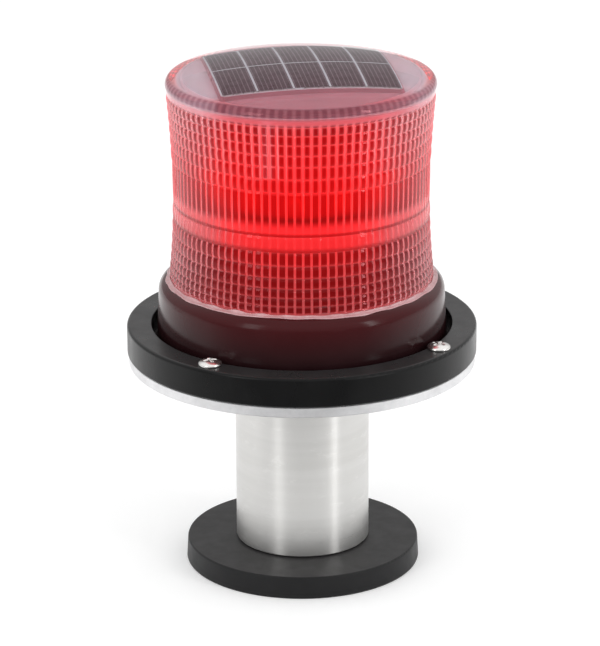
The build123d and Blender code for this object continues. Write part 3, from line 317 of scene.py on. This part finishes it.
def housing_black():
    """Glossy black housing with painted red light from the lamps, growing towards the lens foot."""
    s = plastic("housing_black", (0.015, 0.004, 0.005), 0.17, 3, 0.02, specular=0.4, head_on=0.35)
    painted_red_light = s.span(s.axis("Z"), *PAINTED_RED_LIGHT_HEIGHTS, 0, 0.6)
    s.set("Base Color", s.blend(painted_red_light, s.fed("Base Color"), (0.08, 0.004, 0.006)))
    return s


def holder_red():
    """Lamp holder coloured red, with a painted glow all over standing in for its lamps' light."""
    s = plastic("holder_red", (0.3, 0.02, 0.02), 0.35, tint=0.1)
    glow(s, GLOW_RED, GLOW_STRENGTH, GLOW_REACH)
    return s


def lamp_red():
    """Lit red epoxy: a bright middle and a deeper rim."""
    s = Shader("lamp_red", Roughness=0.15, Coat_Weight=0.5)
    cloud = s.noise(1.5, 2)
    s.set("Base Color", s.blend(cloud, (0.8, 0.02, 0.02), (1.0, 0.12, 0.08)))
    s.set("Emission Color", s.blend(cloud, (1.0, 0.0, 0.0), (1.0, 0.03, 0.02)))
    s.set("Emission Strength", 1.25)
    return s


# What the lens mesh says at each point: how deep in a slot or seam (painted shade), on a frosted inner
# face, on the dome, and in the painted dark band of its rim.
LENS_LAYERS = ("slot", "frost", "dome", "rim")
# The lens's painted red light is strongest at this height and pales out between these distances from it.
LIT_BELT_Z = 148
LIT_BELT_REACH = (10, 36)
PANEL_EDGES = (22, 34)


def lens_colour(s, layers, haze, away):
    """Painted light and shade on a clear lens: rose ribs of painted red light that pale away from the
    lamps, a lilac dome whose frosted underside beyond the panel is painted mauve with red light, a painted
    dark band in the rim and slots painted dark red as shade.
    """
    slot, frost, dome, rim = layers
    rose = s.blend(haze, (0.95, 0.42, 0.44), (1.0, 0.52, 0.54))
    ribs = s.blend(away, rose, (1.0, 0.76, 0.79))
    lilac = s.blend(s.noise(11, 4), (0.9, 0.84, 0.93), (0.98, 0.94, 1.0))
    beyond_panel = s.span(s.maths("ABSOLUTE", s.axis("Y", -PANEL_TURN)), *PANEL_EDGES, 0, 1)
    underside = s.maths("MULTIPLY", frost, dome)
    lilac = s.blend(s.maths("MULTIPLY", underside, beyond_panel), lilac, (0.75, 0.2, 0.27))
    plain = s.blend(dome, ribs, lilac)
    return s.blend(slot, s.blend(rim, plain, (0.27, 0.11, 0.15)), (0.22, 0.006, 0.009))


def lens_clear():
    """Clear acrylic with painted red light: glowing ribs, slots painted dark and a hazy bore."""
    # The pink specular tint is painted red light in the lens's reflections.
    s = Shader("lens_clear", IOR=1.42, Specular_Tint=(1.0, 0.4, 0.43, 1))
    layers = [s.layer(name) for name in LENS_LAYERS]
    slot, frost, dome, rim = layers
    haze = s.noise(6, 4)
    from_belt = s.maths("ABSOLUTE", s.maths("SUBTRACT", s.axis("Z"), LIT_BELT_Z))
    away = s.span(from_belt, *LIT_BELT_REACH, 0, 1)
    s.set("Base Color", lens_colour(s, layers, haze, away))
    clean = s.span(haze, 0.3, 0.7, 0.02, 0.06)
    s.set("Roughness", s.maths("ADD", clean, s.maths("MULTIPLY", frost, 0.36)))
    underside = s.maths("MULTIPLY", frost, dome)
    s.set("Transmission Weight", s.maths("SUBTRACT", 1.0, s.maths("MULTIPLY", underside, 0.5)))
    # Painted glow on the ribs, standing in for the lamps' red light carried in the acrylic.
    light = s.blend(away, (1.0, 0.1, 0.11), (1.0, 0.32, 0.34))
    glow(s, light, LENS_GLOW_STRENGTH, LENS_GLOW_REACH)
    no_painted_glow = slot
    for layer in (rim, dome, frost):
        no_painted_glow = s.maths("MAXIMUM", no_painted_glow, layer)
    ribs = s.maths("SUBTRACT", 1.0, no_painted_glow)
    s.set("Emission Strength", s.maths("MULTIPLY", s.fed("Emission Strength"), ribs))
    return s


def lead_insulation():
    """Pairs of leads: red on one side and black on the other."""
    s = Shader("lead_insulation", Roughness=0.45, Specular_IOR_Level=0.4)
    side = s.span(s.axis("X"), -0.1, 0.1, 0, 1)
    s.set("Base Color", s.blend(side, (0.02, 0.02, 0.02), (0.5, 0.02, 0.02)))
    s.bump(s.noise(0.5, 2), 0.01)
    return s


BAND_EDGE = (18, 18.3)


def battery_wrap():
    """Green shrink wrap with a light band at each end and creases along the cell."""
    s = Shader("cell_wrap", Coat_Weight=0.5, Coat_Roughness=0.1)
    creases = s.noise(2.5, 4, (0.2, 1, 1))
    band = s.span(s.maths("ABSOLUTE", s.axis("X")), *BAND_EDGE, 0, 1)
    s.set("Base Color", s.blend(band, (0.03, 0.3, 0.12), (0.72, 0.72, 0.7)))
    s.set("Roughness", s.span(creases, 0.3, 0.7, 0.25, 0.4))
    s.bump(creases, 0.04)
    return s


def sealant_clear():
    """Clear sealant: glossy, slightly milky, uneven, tinted pink as painted red light from the lamps."""
    s = Shader("sealant_clear", IOR=1.41, Transmission_Weight=0.4, Coat_Weight=0.3)
    lumps = s.noise(2.2, 3)
    s.set("Base Color", s.blend(lumps, (0.75, 0.3, 0.32), (1.0, 0.7, 0.72)))
    s.set("Roughness", s.span(lumps, 0.3, 0.7, 0.06, 0.2))
    s.bump(lumps, 0.15)
    return s


# One maker for each of the record's material slots.
MAKERS = {
    "rubber_coating": lambda: rubber("rubber_coating", (0.006, 0.006, 0.0065)),
    "pole_steel": lambda: metal("pole_steel", (0.5, 0.5, 0.5), 0.4),
    "magnet_nickel": lambda: metal("magnet_nickel", (0.66, 0.64, 0.6), 0.2),
    "stud_steel": lambda: metal("stud_steel", (0.6, 0.6, 0.58), 0.3),
    "plug_aluminium": lambda: metal("plug_aluminium", (0.8, 0.8, 0.79), 0.35, (0.1, 0.1, 4)),
    "stem_aluminium": stem_aluminium,
    "screw_steel": lambda: metal("screw_steel", (0.62, 0.62, 0.6), 0.3),
    "plate_aluminium": plate_aluminium,
    "ring_black": ring_black,
    "pan_screw_steel": lambda: metal("pan_screw_steel", (0.86, 0.84, 0.82), 0.22, size=0.8, depth=0.01),
    "housing_black": housing_black,
    "cover_black": lambda: plastic("cover_black", (0.02, 0.02, 0.022), 0.5),
    "seal_rubber": lambda: rubber("seal_rubber", (0.012, 0.012, 0.012), 0.45),
    "switch_shell": lambda: metal("switch_shell", (0.65, 0.65, 0.63), 0.3),
    "knob_black": lambda: plastic("knob_black", (0.015, 0.015, 0.016), 0.45),
    "foam_pad": lambda: rubber("foam_pad", (0.35, 0.35, 0.34), 0.85),
    "holder_black": lambda: plastic("holder_black", (0.02, 0.02, 0.022), 0.4),
    "cell_wrap": battery_wrap,
    "contact_nickel": lambda: metal("contact_nickel", (0.74, 0.72, 0.66), 0.22),
    "lead_insulation": lead_insulation,
    "core_black": core_black,
    "board_green": lambda: board("board_green", (0.015, 0.12, 0.045)),
    "chip_black": lambda: plastic("chip_black", (0.012, 0.012, 0.013), 0.5),
    "ferrite_grey": lambda: plastic("ferrite_grey", (0.06, 0.06, 0.065), 0.6),
    "can_aluminium": lambda: metal("can_aluminium", (0.7, 0.7, 0.72), 0.25),
    "socket_white": lambda: plastic("socket_white", (0.7, 0.69, 0.65), 0.4, tint=0.08),
    "holder_red": holder_red,
    "lamp_red": lamp_red,
    "leg_tin": lambda: metal("leg_tin", (0.78, 0.78, 0.77), 0.25),
    "gasket_rubber": lambda: rubber("gasket_rubber", (0.015, 0.015, 0.015), 0.5),
    "lens_clear": lens_clear,
    "sealant_clear": sealant_clear,
    "potting_resin": lambda: plastic("potting_resin", (0.5, 0.16, 0.21), 0.3, tint=0.1),
    "panel_white": lambda: plastic("panel_white", (0.8, 0.8, 0.82), 0.3, tint=0.06),
    "cell_silicon": solar_silicon,
    "strip_tin": lambda: metal("strip_tin", (0.9, 0.9, 0.9), 0.3),
}


materials = {slot: make().material for slot, make in MAKERS.items()}


def dress_cad_nodes():
    """Give every CAD node the procedural material of its record slot."""
    slots = {row["node"]: row["material_slot"] for row in frame["record"]["subparts"]}
    for name, node in frame["nodes"].items():
        for holder in node.material_slots:
            holder.material = materials[slots[name]]


# ---------------------------------------------------------------- mesh helpers


def mesh_piece(name, points, faces, slot):
    """A smooth mesh object from points in mm, riding on the light's body with its slot's material."""
    mesh = bpy.data.meshes.new(name)
    mesh.from_pydata([tuple(p * MM) for p in np.asarray(points, float)], [], faces)
    mesh.validate()
    mesh.polygons.foreach_set("use_smooth", [True] * len(mesh.polygons))
    mesh.materials.append(materials[slot])
    piece = bpy.data.objects.new(name, mesh)
    bpy.context.scene.collection.objects.link(piece)
    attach(piece, LIGHT_BODY)
    return piece


def ring_faces(rows, columns, first=0):
    """Quads of a tube of rows by columns points that closes on itself round the axis."""
    faces = []
    for row in range(rows - 1):
        low, high = first + row * columns, first + (row + 1) * columns
        for column in range(columns):
            after = (column + 1) % columns
            faces.append((low + column, low + after, high + after, high + column))
    return faces


def pole_faces(points, columns, first_z, last_z):
    """Close both ends of a tube of rows with a fan round a point on the axis; the points are added."""
    count = len(points) * columns
    points.append(np.array([(0, 0, first_z), (0, 0, last_z)]))
    faces = []
    for column in range(columns):
        after = (column + 1) % columns
        faces.append((count, after, column))
        faces.append((count + 1, count - columns + column, count - columns + after))
    return faces


# ---------------------------------------------------------------- lens


def lens_radius(z):
    """Outer radius of the lens wall at a height: a plain foot, then two arcs that meet at the waist."""
    if z < LENS_FOOT_TOP:
        return LENS_FOOT_R
    if z > LENS_WAIST_Z:
        rise, spread = LENS_RIM_Z - LENS_WAIST_Z, LENS_RIM_R - LENS_WAIST_R
    else:
        rise, spread = LENS_WAIST_Z - LENS_FOOT_TOP, LENS_FOOT_R - LENS_WAIST_R
    curve = (rise**2 + spread**2) / (2 * spread)
    return LENS_WAIST_R + curve - math.sqrt(curve**2 - (z - LENS_WAIST_Z) ** 2)


def ring_levels():
    """Heights of the grooves between the lens rings, from the foot to the rim."""
    below, above = [BELT_LOW], [BELT_HIGH]
    for k in range(RINGS_BELOW):
        below.append(below[-1] - FIRST_PITCH_BELOW * PITCH_RATIO_BELOW**k)
    for k in range(RINGS_ABOVE):
        above.append(above[-1] + FIRST_PITCH_ABOVE * PITCH_RATIO_ABOVE**k)
    return below[::-1] + above


def smoothstep(low, high, value):
    """Smooth change from 0 at low to 1 at high; low may be the greater of the two."""
    t = np.clip((value - low) / (high - low), 0, 1)
    return t * t * (3 - 2 * t)


# Where in one flute the points lie, as a fraction of its pitch from the crest of a rib, and where in
# one ring the rows lie, as a fraction of its height.
FLUTE_STEPS = np.array([0.0, 0.06, 0.12, 0.19, 0.34, 0.5, 0.66, 0.81, 0.88, 0.94])
RING_STEPS = np.array([0.0, 0.05, 0.11, 0.2, 0.35, 0.5, 0.65, 0.8, 0.89, 0.95])
BELT_STEPS = np.linspace(0, 0.98, 22)
RIB_HALF = 0.13
RIB_HEIGHT = 0.3
GROOVE_DEPTH = 0.3
GROOVE_WIDTH = 0.35
RING_BULGE = 0.3
FOOT_SKIN = 0.05
# How dark the painted shade in the slots is, from 0 to 1: where one starts, and how its ends fade along the
# flute in mm.
SLOT_FLOOR = 0.55
SLOT_ENDS = (0.12, 0.4)
BAR_START = (142.6, 146.4)
# Painted shade along the grooves at the foot of the belt and of the plain band below it.
SEAM_PAINTED_SHADE = 0.85
SEAM_FADE = (0.8, 1.6)
# Rows above the top ring, in which the flutes and the painted slot shade fade out.
TOP_BAND_RISES = (0.0, 0.3, 0.9, 1.4, 1.9, 2.2)
TOP_BAND_FADE = (0.3, 1.2)
# The painted dark band (painted shade) in the dome's rim, and the radii between which the wall's layer
# gives way to the dome's.
RIM_LOW = 183.6
RIM_FADE = 0.6
RIM_INNER = (47.2, 48.2)
DOME_EDGE = (49.4, 48.2)
RIM_DASHES = 0.22


def wall_rows():
    """Rows of the outer wall: height, bulge, strength of the flutes, painted shade of the slots and of
    seams.
    """
    levels = ring_levels()
    rows = [(z, 0.0, 0.0, 0.0, 0.0) for z in (LENS_LOW, LENS_LOW + 1.2, levels[0] - 0.4)]
    for low, high in zip(levels, levels[1:]):
        belt = low == BELT_LOW
        plain = high == BELT_LOW
        line = SEAM_PAINTED_SHADE if belt or plain else 0.0
        for v in BELT_STEPS if belt else RING_STEPS:
            z = low + (high - low) * v
            edge = min(v, 1 - v) * (high - low)
            bulge = RING_BULGE * (1 - (2 * v - 1) ** 2)
            bulge -= GROOVE_DEPTH * (1 - smoothstep(0, GROOVE_WIDTH, edge))
            inside = smoothstep(*SLOT_ENDS, edge)
            seam = line * (1 - smoothstep(*SEAM_FADE, z - low))
            if belt:
                bars = smoothstep(*BAR_START, z) * inside
                rows.append((z, bulge * 0.6, 0.6 + 0.4 * bars, 0.2 + 0.8 * bars, seam))
            elif plain:
                rows.append((z, bulge, 0.6, 0.3 * inside, seam))
            else:
                rows.append((z, bulge, 1.0, SLOT_FLOOR + (1 - SLOT_FLOOR) * inside, 0.0))
    for rise in TOP_BAND_RISES:
        ending = 1 - smoothstep(*TOP_BAND_FADE, rise)
        bulge = -GROOVE_DEPTH if rise == 0 else 0.0
        rows.append((levels[-1] + rise, bulge, ending, 0.8 * ending, 0.0))
    return rows


def bore_rows():
    """Rows of the frosted inside, from the middle of the dome's underside down the bore to the foot."""
    rows = [(radius, DOME_UNDERSIDE, {"dome": 1.0, "frost": 1.0}) for radius in (8, 22, 34)]
    rows.append((LENS_BORE_R - INNER_ROUND, DOME_UNDERSIDE, {"dome": 1.0, "frost": 1.0}))
    for turn in np.radians(np.linspace(75, 0, 6)):
        radius = LENS_BORE_R - INNER_ROUND * (1 - math.cos(turn))
        z = DOME_UNDERSIDE - INNER_ROUND * (1 - math.sin(turn))
        rows.append((radius, z, {"dome": 1.0, "frost": 1.0}))
    for z in np.linspace(DOME_UNDERSIDE - 6, LENS_LOW, 6):
        rows.append((LENS_BORE_R, z, {"frost": 1.0}))
    return rows


def outside_rows(off_rib):
    """Rows of the fluted wall from the foot up; off_rib is how far each column is from its rib's crest."""
    rib = RIB_HEIGHT * np.clip(1 - (off_rib / RIB_HALF) ** 2, 0, None)
    wide_slot = smoothstep(0.09, 0.17, off_rib)
    slim_slot = smoothstep(0.12, 0.24, off_rib)
    rows = []
    for z, bulge, flutes, slot, seam in wall_rows():
        radius = lens_radius(z) - RING_BULGE - RIB_HEIGHT * flutes + bulge + rib * flutes
        if z < LENS_LOW + 2:
            radius = lens_radius(z) - FOOT_SKIN
        across = slim_slot if z > BELT_HIGH else wide_slot
        rows.append((radius, z, {"slot": np.maximum(across * slot, seam)}))
    return rows


def dome_rows(off_rib):
    """Rows of the rim's rounding and the dome, from the wall to just before the axis."""
    centre_z = LENS_HIGH - DOME_R
    corner_r = LENS_RIM_R - RIM_ROUND
    corner_z = centre_z + math.sqrt((DOME_R - RIM_ROUND) ** 2 - corner_r**2)
    turns = np.linspace(0, math.atan2(corner_z - centre_z, corner_r), 9)
    profile = [(corner_r + RIM_ROUND * math.cos(t), corner_z + RIM_ROUND * math.sin(t)) for t in turns]
    dome_start = profile[-1][0]
    profile += [(r, centre_z + math.sqrt(DOME_R**2 - r**2)) for r in np.linspace(dome_start, 4, 14)[1:]]
    dashes = 1 - RIM_DASHES + RIM_DASHES * smoothstep(0.1, 0.3, off_rib)
    rows = []
    for radius, z in profile:
        on_dome = float(smoothstep(*DOME_EDGE, radius))
        rim = float(smoothstep(RIM_LOW, RIM_LOW + RIM_FADE, z) * smoothstep(*RIM_INNER, radius))
        rows.append((radius, z, {"dome": on_dome, "rim": rim * dashes}))
    return rows


def build_lens():
    """Clear lens: fluted and ringed outer wall, thick dome, plain bore, as one closed solid of acrylic."""
    flute = np.concatenate([FLUTE_STEPS + k for k in range(FLUTES)])
    columns = len(flute)
    angle = flute * 2 * math.pi / FLUTES
    off_rib = np.minimum(flute % 1, 1 - flute % 1)
    points = []
    shades = {layer: [] for layer in LENS_LAYERS}
    for radius, z, shade in bore_rows() + outside_rows(off_rib) + dome_rows(off_rib):
        points.append(np.stack([radius * np.cos(angle), radius * np.sin(angle), np.full(columns, z)], 1))
        for layer, values in shades.items():
            values.append(np.broadcast_to(shade.get(layer, 0.0), columns))
    faces = ring_faces(len(points), columns)
    faces += pole_faces(points, columns, DOME_UNDERSIDE, LENS_HIGH)
    for layer, values in shades.items():
        values.append(np.full(2, 1.0 if layer == "dome" else 0.0))
    lens = mesh_piece("lens_prismatic", np.concatenate(points), faces, "lens_clear")
    for layer, values in shades.items():
        attribute = lens.data.attributes.new(layer, "FLOAT", "POINT")
        attribute.data.foreach_set("value", np.concatenate(values).astype(np.float32))
    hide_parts("lens")


# ---------------------------------------------------------------- screws and sealant

RING_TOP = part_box("clamp_ring")[1].z / MM
SCREW_LOW, SCREW_HIGH = (corner.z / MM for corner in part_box("clamp_screws"))
SCREW_CIRCLE_R = 59.5
SCREW_R = 2.45
SCREW_TIP_R = 2.0
SCREW_TIP = 0.5
HEAD_R = 4.3
HEAD_EDGE = 0.6
HEAD_CHAMFER = (0.1, 0.15)
RECESS_HALF = 2.3
RECESS_ARM = 0.5
RECESS_SIDE_SLOPE = 0.14
RECESS_END_SLOPE = 0.2
RECESS_DEPTH = 1.35
RECESS_TAPER = 0.3
SCREW_COLUMNS = 96
SCREW_TURNS = (20, 64, 8, 41)


def recess_arm(along, across):
    """How much of the cross recess's depth one of its arms has at each point, from 0 to 1."""
    side = smoothstep(RECESS_ARM + RECESS_SIDE_SLOPE, RECESS_ARM, abs(across))
    end = smoothstep(RECESS_HALF + RECESS_END_SLOPE, RECESS_HALF, abs(along))
    return side * end


def screw_points():
    """Rows of one pan-head screw on its own axis: shank, flat underside, domed head with a cross recess."""
    crown = SCREW_HIGH - RING_TOP
    tip = SCREW_LOW - RING_TOP
    rows = [
        (SCREW_TIP_R, tip),
        (SCREW_R, tip + SCREW_TIP),
        (SCREW_R, 0.0),
        (HEAD_R - HEAD_CHAMFER[0], 0.0),
        (HEAD_R, HEAD_CHAMFER[1]),
        (HEAD_R, HEAD_EDGE),
    ]
    around = np.arange(SCREW_COLUMNS) * 2 * math.pi / SCREW_COLUMNS
    points = []
    for r, z in rows:
        points.append(np.stack([r * np.cos(around), r * np.sin(around), np.full(SCREW_COLUMNS, z)], 1))
    for r in np.linspace(HEAD_R - 0.05, 0.12, 30):
        x, y = r * np.cos(around), r * np.sin(around)
        depth = np.maximum(recess_arm(x, y), recess_arm(y, x)) * (RECESS_DEPTH - RECESS_TAPER * r)
        dome = HEAD_EDGE + (crown - HEAD_EDGE) * math.sqrt(1 - (r / HEAD_R) ** 2)
        points.append(np.stack([x, y, dome - depth], 1))
    return points


def build_screws():
    """Four pan-head screws in the ring, each stopped at its own angle."""
    all_points, all_faces = [], []
    for k, turn in enumerate(SCREW_TURNS):
        points = screw_points()
        faces = ring_faces(len(points), SCREW_COLUMNS)
        faces += pole_faces(points, SCREW_COLUMNS, SCREW_LOW - RING_TOP, points[-1][0][2])
        place = math.radians(45 + 90 * k)
        cos_turn, sin_turn = math.cos(math.radians(turn)), math.sin(math.radians(turn))
        x, y, z = np.concatenate(points).T
        first = sum(len(p) for p in all_points)
        all_points.append(np.stack([
            x * cos_turn - y * sin_turn + SCREW_CIRCLE_R * math.cos(place),
            x * sin_turn + y * cos_turn + SCREW_CIRCLE_R * math.sin(place),
            z + RING_TOP,
        ], 1))
        all_faces += [tuple(first + corner for corner in face) for face in faces]
    screws = mesh_piece("pan_head_screws", np.concatenate(all_points), all_faces, "pan_screw_steel")
    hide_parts("clamp_screws")


COLLAR_TOP = 111.7
COLLAR_TOP_R = 53.0
COLLAR_ROUND = 5.0
REBATE_R = 49.05
REBATE_DEPTH = 1.7
BEAD_COLUMNS = 480
BEAD_R = 50.35
BEAD_TOP = 112.15
BEAD_RIDGE_R = 49.0
WANDER_WAVES = range(2, 38, 3)


def collar_arc_z(radius):
    """Height of the collar's rounded shoulder at a radius."""
    past_centre = radius - COLLAR_TOP_R + COLLAR_ROUND
    return COLLAR_TOP - COLLAR_ROUND + np.sqrt(COLLAR_ROUND**2 - past_centre**2)


def wander(around, seed):
    """A smooth closed random curve round the axis, between -1 and 1."""
    random = np.random.default_rng(seed)
    total = np.zeros_like(around)
    for wave in WANDER_WAVES:
        swing = random.normal() / math.sqrt(wave)
        total += swing * np.cos(wave * around + random.uniform(0, 2 * math.pi))
    return total / abs(total).max()


def build_sealant():
    """Hand-laid bead of clear sealant round the lens foot, with a wavy edge, ridge and top."""
    around = np.arange(BEAD_COLUMNS) * 2 * math.pi / BEAD_COLUMNS
    outer = BEAD_R + 0.45 * wander(around, 4)
    top = BEAD_TOP + 0.4 * wander(around, 7)
    ridge = BEAD_RIDGE_R + 0.12 * wander(around, 11)
    slope = (outer + ridge) / 2
    edge = collar_arc_z(outer)
    foot = LENS_FOOT_R - 0.03
    section = [
        (REBATE_R, collar_arc_z(REBATE_R) - 0.1),
        (outer, edge - 0.04),
        (outer - 0.03, edge + 0.18),
        (outer - 0.16, edge + 0.34),
        (outer - 0.4, collar_arc_z(outer - 0.4) + 0.2),
        (slope, collar_arc_z(slope) + 0.16 + 0.08 * wander(around, 3)),
        (ridge, top - 0.2),
        (foot + 0.1, top),
        (foot, top - 0.06),
        (foot, COLLAR_TOP - REBATE_DEPTH),
        (REBATE_R, COLLAR_TOP - REBATE_DEPTH),
    ]
    points = []
    for radius, z in section:
        height = np.broadcast_to(z, BEAD_COLUMNS)
        points.append(np.stack([radius * np.cos(around), radius * np.sin(around), height], 1))
    faces = ring_faces(len(points) + 1, BEAD_COLUMNS)
    count = len(points) * BEAD_COLUMNS
    faces = [tuple(corner % count for corner in face) for face in faces]
    bead = mesh_piece("sealant_bead", np.concatenate(points), faces, "sealant_clear")
    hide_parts("lens_sealant")


# ---------------------------------------------------------------- posts beside the cap

CAP_R = 30.9
POST_R = 1.9
POST_DEPTH = 0.8
POST_ROOT = 0.5
POST_LOW = 157.5
POST_HIGH = 183.0
POST_COUNT = 4
POST_TURN = -124.0
# Heights up a post, and how wide it is there: a wider foot and a slightly drawn-in top.
POST_LEVELS = (
    (POST_LOW, 1.5),
    (POST_LOW + 1.2, 1.5),
    (POST_LOW + 1.6, 1.0),
    (POST_HIGH - 0.8, 1.0),
    (POST_HIGH, 0.7),
)


def post_white():
    """White plastic of the posts beside the cap, coloured rosy as painted light, with a painted glow
    standing in for the lamps' light.
    """
    s = plastic("post_white", (0.8, 0.5, 0.52), 0.35, tint=0.1)
    glow(s, (1.0, 0.3, 0.32), POST_GLOW_STRENGTH, POST_GLOW_REACH)
    return s


def build_posts():
    """Slim half-round posts up the outside of the cap, with a small foot on the lamp holder."""
    around = np.radians(np.linspace(-90, 90, 13))
    columns = len(around) + 1
    all_points, all_faces = [], []
    for k in range(POST_COUNT):
        place = math.radians(POST_TURN + 360 / POST_COUNT * k)
        outwards = np.array([math.cos(place), math.sin(place)])
        along = np.array([-math.sin(place), math.cos(place)])
        points = []
        for z, swell in POST_LEVELS:
            out = np.append(CAP_R + POST_R * POST_DEPTH * swell * np.cos(around), CAP_R - POST_ROOT)
            side = np.append(POST_R * swell * np.sin(around), 0.0)
            flat = out[:, None] * outwards + side[:, None] * along
            points.append(np.column_stack([flat, np.full(columns, z)]))
        first = sum(len(p) for p in all_points)
        last = first + (len(points) - 1) * columns
        faces = ring_faces(len(points), columns, first)
        faces.append(tuple(first + column for column in reversed(range(columns))))
        faces.append(tuple(last + column for column in range(columns)))
        all_points += points
        all_faces += faces
    posts = mesh_piece("cap_posts", np.concatenate(all_points), all_faces, "socket_white")
    # The slot's own plastic has no painted glow; the posts get a rosy colour and glow painted as the lamps'
    # light.
    posts.data.materials[0] = post_white().material


# ---------------------------------------------------------------- stage, light and camera


CAMERA_DISTANCE = 1.1475
CAMERA_HEIGHT = 0.4873
CAMERA_TURN = math.radians(11.5)
CAMERA_PITCH = math.radians(18.98)
CAMERA_ROLL = math.radians(-0.23)
CAMERA_LENS = 181.74
CAMERA_SHIFT = -0.00285
SENSOR_WIDTH = 36
CLIP_START = 0.05
FLOOR_HALF = 6.0
FLOOR_LIGHT = 0.18
# Painted reflection: how far in front the floor turns dark in reflections, and how dark.
DARK_REFLECTION_REACH = (-110, -300)
DARK_REFLECTION_DEPTH = 0.74


def floor_white():
    """Pale floor, evenly bright seen straight on; in reflections its front is painted dark, a painted
    reflection standing in for a black card laid before the object.
    """
    s = Shader("floor_white", Roughness=0.75, Specular_IOR_Level=0.2)
    in_front = s.span(s.axis("Y", CAMERA_TURN), *DARK_REFLECTION_REACH, 0, DARK_REFLECTION_DEPTH)
    dark_reflection = s.maths("MULTIPLY", in_front, s.node("ShaderNodeLightPath").outputs["Is Glossy Ray"])
    pale = s.blend(s.noise(60, 2), (0.86, 0.86, 0.86), (0.89, 0.89, 0.89))
    s.set("Base Color", s.blend(dark_reflection, pale, (0, 0, 0)))
    s.set("Emission Color", (1, 1, 1, 1))
    s.set("Emission Strength", s.span(dark_reflection, 0, 1, FLOOR_LIGHT, 0))
    return s


def build_floor():
    """Plain pale floor."""
    mesh = bpy.data.meshes.new("floor")
    half = FLOOR_HALF
    corners = [(-half, -half, 0), (half, -half, 0), (half, half, 0), (-half, half, 0)]
    mesh.from_pydata(corners, [], [(0, 1, 2, 3)])
    mesh.materials.append(floor_white().material)
    floor = bpy.data.objects.new("floor", mesh)
    bpy.context.scene.collection.objects.link(floor)


LIGHT_TARGET = (0, 0, 0.1)


def area_light(name, place, size, power):
    """Soft rectangular white light aimed at the object; place and size in metres, power in watts."""
    data = bpy.data.lights.new(name, "AREA")
    data.shape = "RECTANGLE"
    data.size, data.size_y = size
    data.energy = power
    lamp = bpy.data.objects.new(name, data)
    lamp.location = place
    lamp.rotation_mode = "QUATERNION"
    lamp.rotation_quaternion = (Vector(LIGHT_TARGET) - Vector(place)).to_track_quat("-Z", "Y")
    bpy.context.scene.collection.objects.link(lamp)


# How bright the surroundings are: by height, and by how far behind the object, as parts of a unit way.
SKY_RISE = {"From Min": 0.1, "From Max": 0.6, "To Min": 0.72, "To Max": 1.1}
SKY_BEHIND = {"From Min": 0.55, "From Max": 0.85, "To Min": 1.0, "To Max": 0.7}


def sky_ramp(tree, value, spans):
    """A value in the world's nodes remapped from one range to another."""
    ramp = tree.nodes.new("ShaderNodeMapRange")
    tree.links.new(value, ramp.inputs["Value"])
    for socket, number in spans.items():
        ramp.inputs[socket].default_value = number
    return ramp.outputs["Result"]


def build_light():
    """White surroundings, darker low down and behind, and a soft strip light at each side in front."""
    world = bpy.data.worlds.new("studio")
    bpy.context.scene.world = world
    world.use_nodes = True
    tree = world.node_tree
    sky = tree.nodes["Background"]
    sky.inputs["Color"].default_value = (1, 1, 1, 1)
    way = tree.nodes.new("ShaderNodeSeparateXYZ")
    tree.links.new(tree.nodes.new("ShaderNodeTexCoord").outputs["Generated"], way.inputs["Vector"])
    strength = tree.nodes.new("ShaderNodeMath")
    strength.operation = "MULTIPLY"
    tree.links.new(sky_ramp(tree, way.outputs["Z"], SKY_RISE), strength.inputs[0])
    tree.links.new(sky_ramp(tree, way.outputs["Y"], SKY_BEHIND), strength.inputs[1])
    tree.links.new(strength.outputs["Value"], sky.inputs["Strength"])
    area_light("left_strip", (-0.95, -0.75, 0.5), (0.3, 0.8), 2.4)
    area_light("right_strip", (0.72, -0.74, 0.4), (0.1, 0.7), 2.0)


def build_camera():
    """Camera at the product shot's distance and angle, slightly to the left of the front."""
    data = bpy.data.cameras.new("camera")
    data.lens = CAMERA_LENS
    data.sensor_width = SENSOR_WIDTH
    data.shift_x = CAMERA_SHIFT
    data.clip_start = CLIP_START
    camera = bpy.data.objects.new("camera", data)
    sin_turn, cos_turn = math.sin(CAMERA_TURN), math.cos(CAMERA_TURN)
    sin_pitch, cos_pitch = math.sin(CAMERA_PITCH), math.cos(CAMERA_PITCH)
    right = Vector((cos_turn, -sin_turn, 0))
    up = Vector((sin_turn * sin_pitch, cos_turn * sin_pitch, cos_pitch))
    back = Vector((-sin_turn * cos_pitch, -cos_turn * cos_pitch, sin_pitch))
    rolled_right = right * math.cos(CAMERA_ROLL) + up * math.sin(CAMERA_ROLL)
    rolled_up = up * math.cos(CAMERA_ROLL) - right * math.sin(CAMERA_ROLL)
    turn = Matrix((rolled_right, rolled_up, back)).transposed().to_4x4()
    place = Vector((-CAMERA_DISTANCE * sin_turn, -CAMERA_DISTANCE * cos_turn, CAMERA_HEIGHT))
    camera.matrix_world = Matrix.Translation(place) @ turn
    bpy.context.scene.collection.objects.link(camera)
    bpy.context.scene.camera = camera


dress_cad_nodes()
build_lens()
build_screws()
build_sealant()
build_posts()
build_floor()
build_light()
build_camera()
bpy.context.scene.view_settings.view_transform = "Standard"
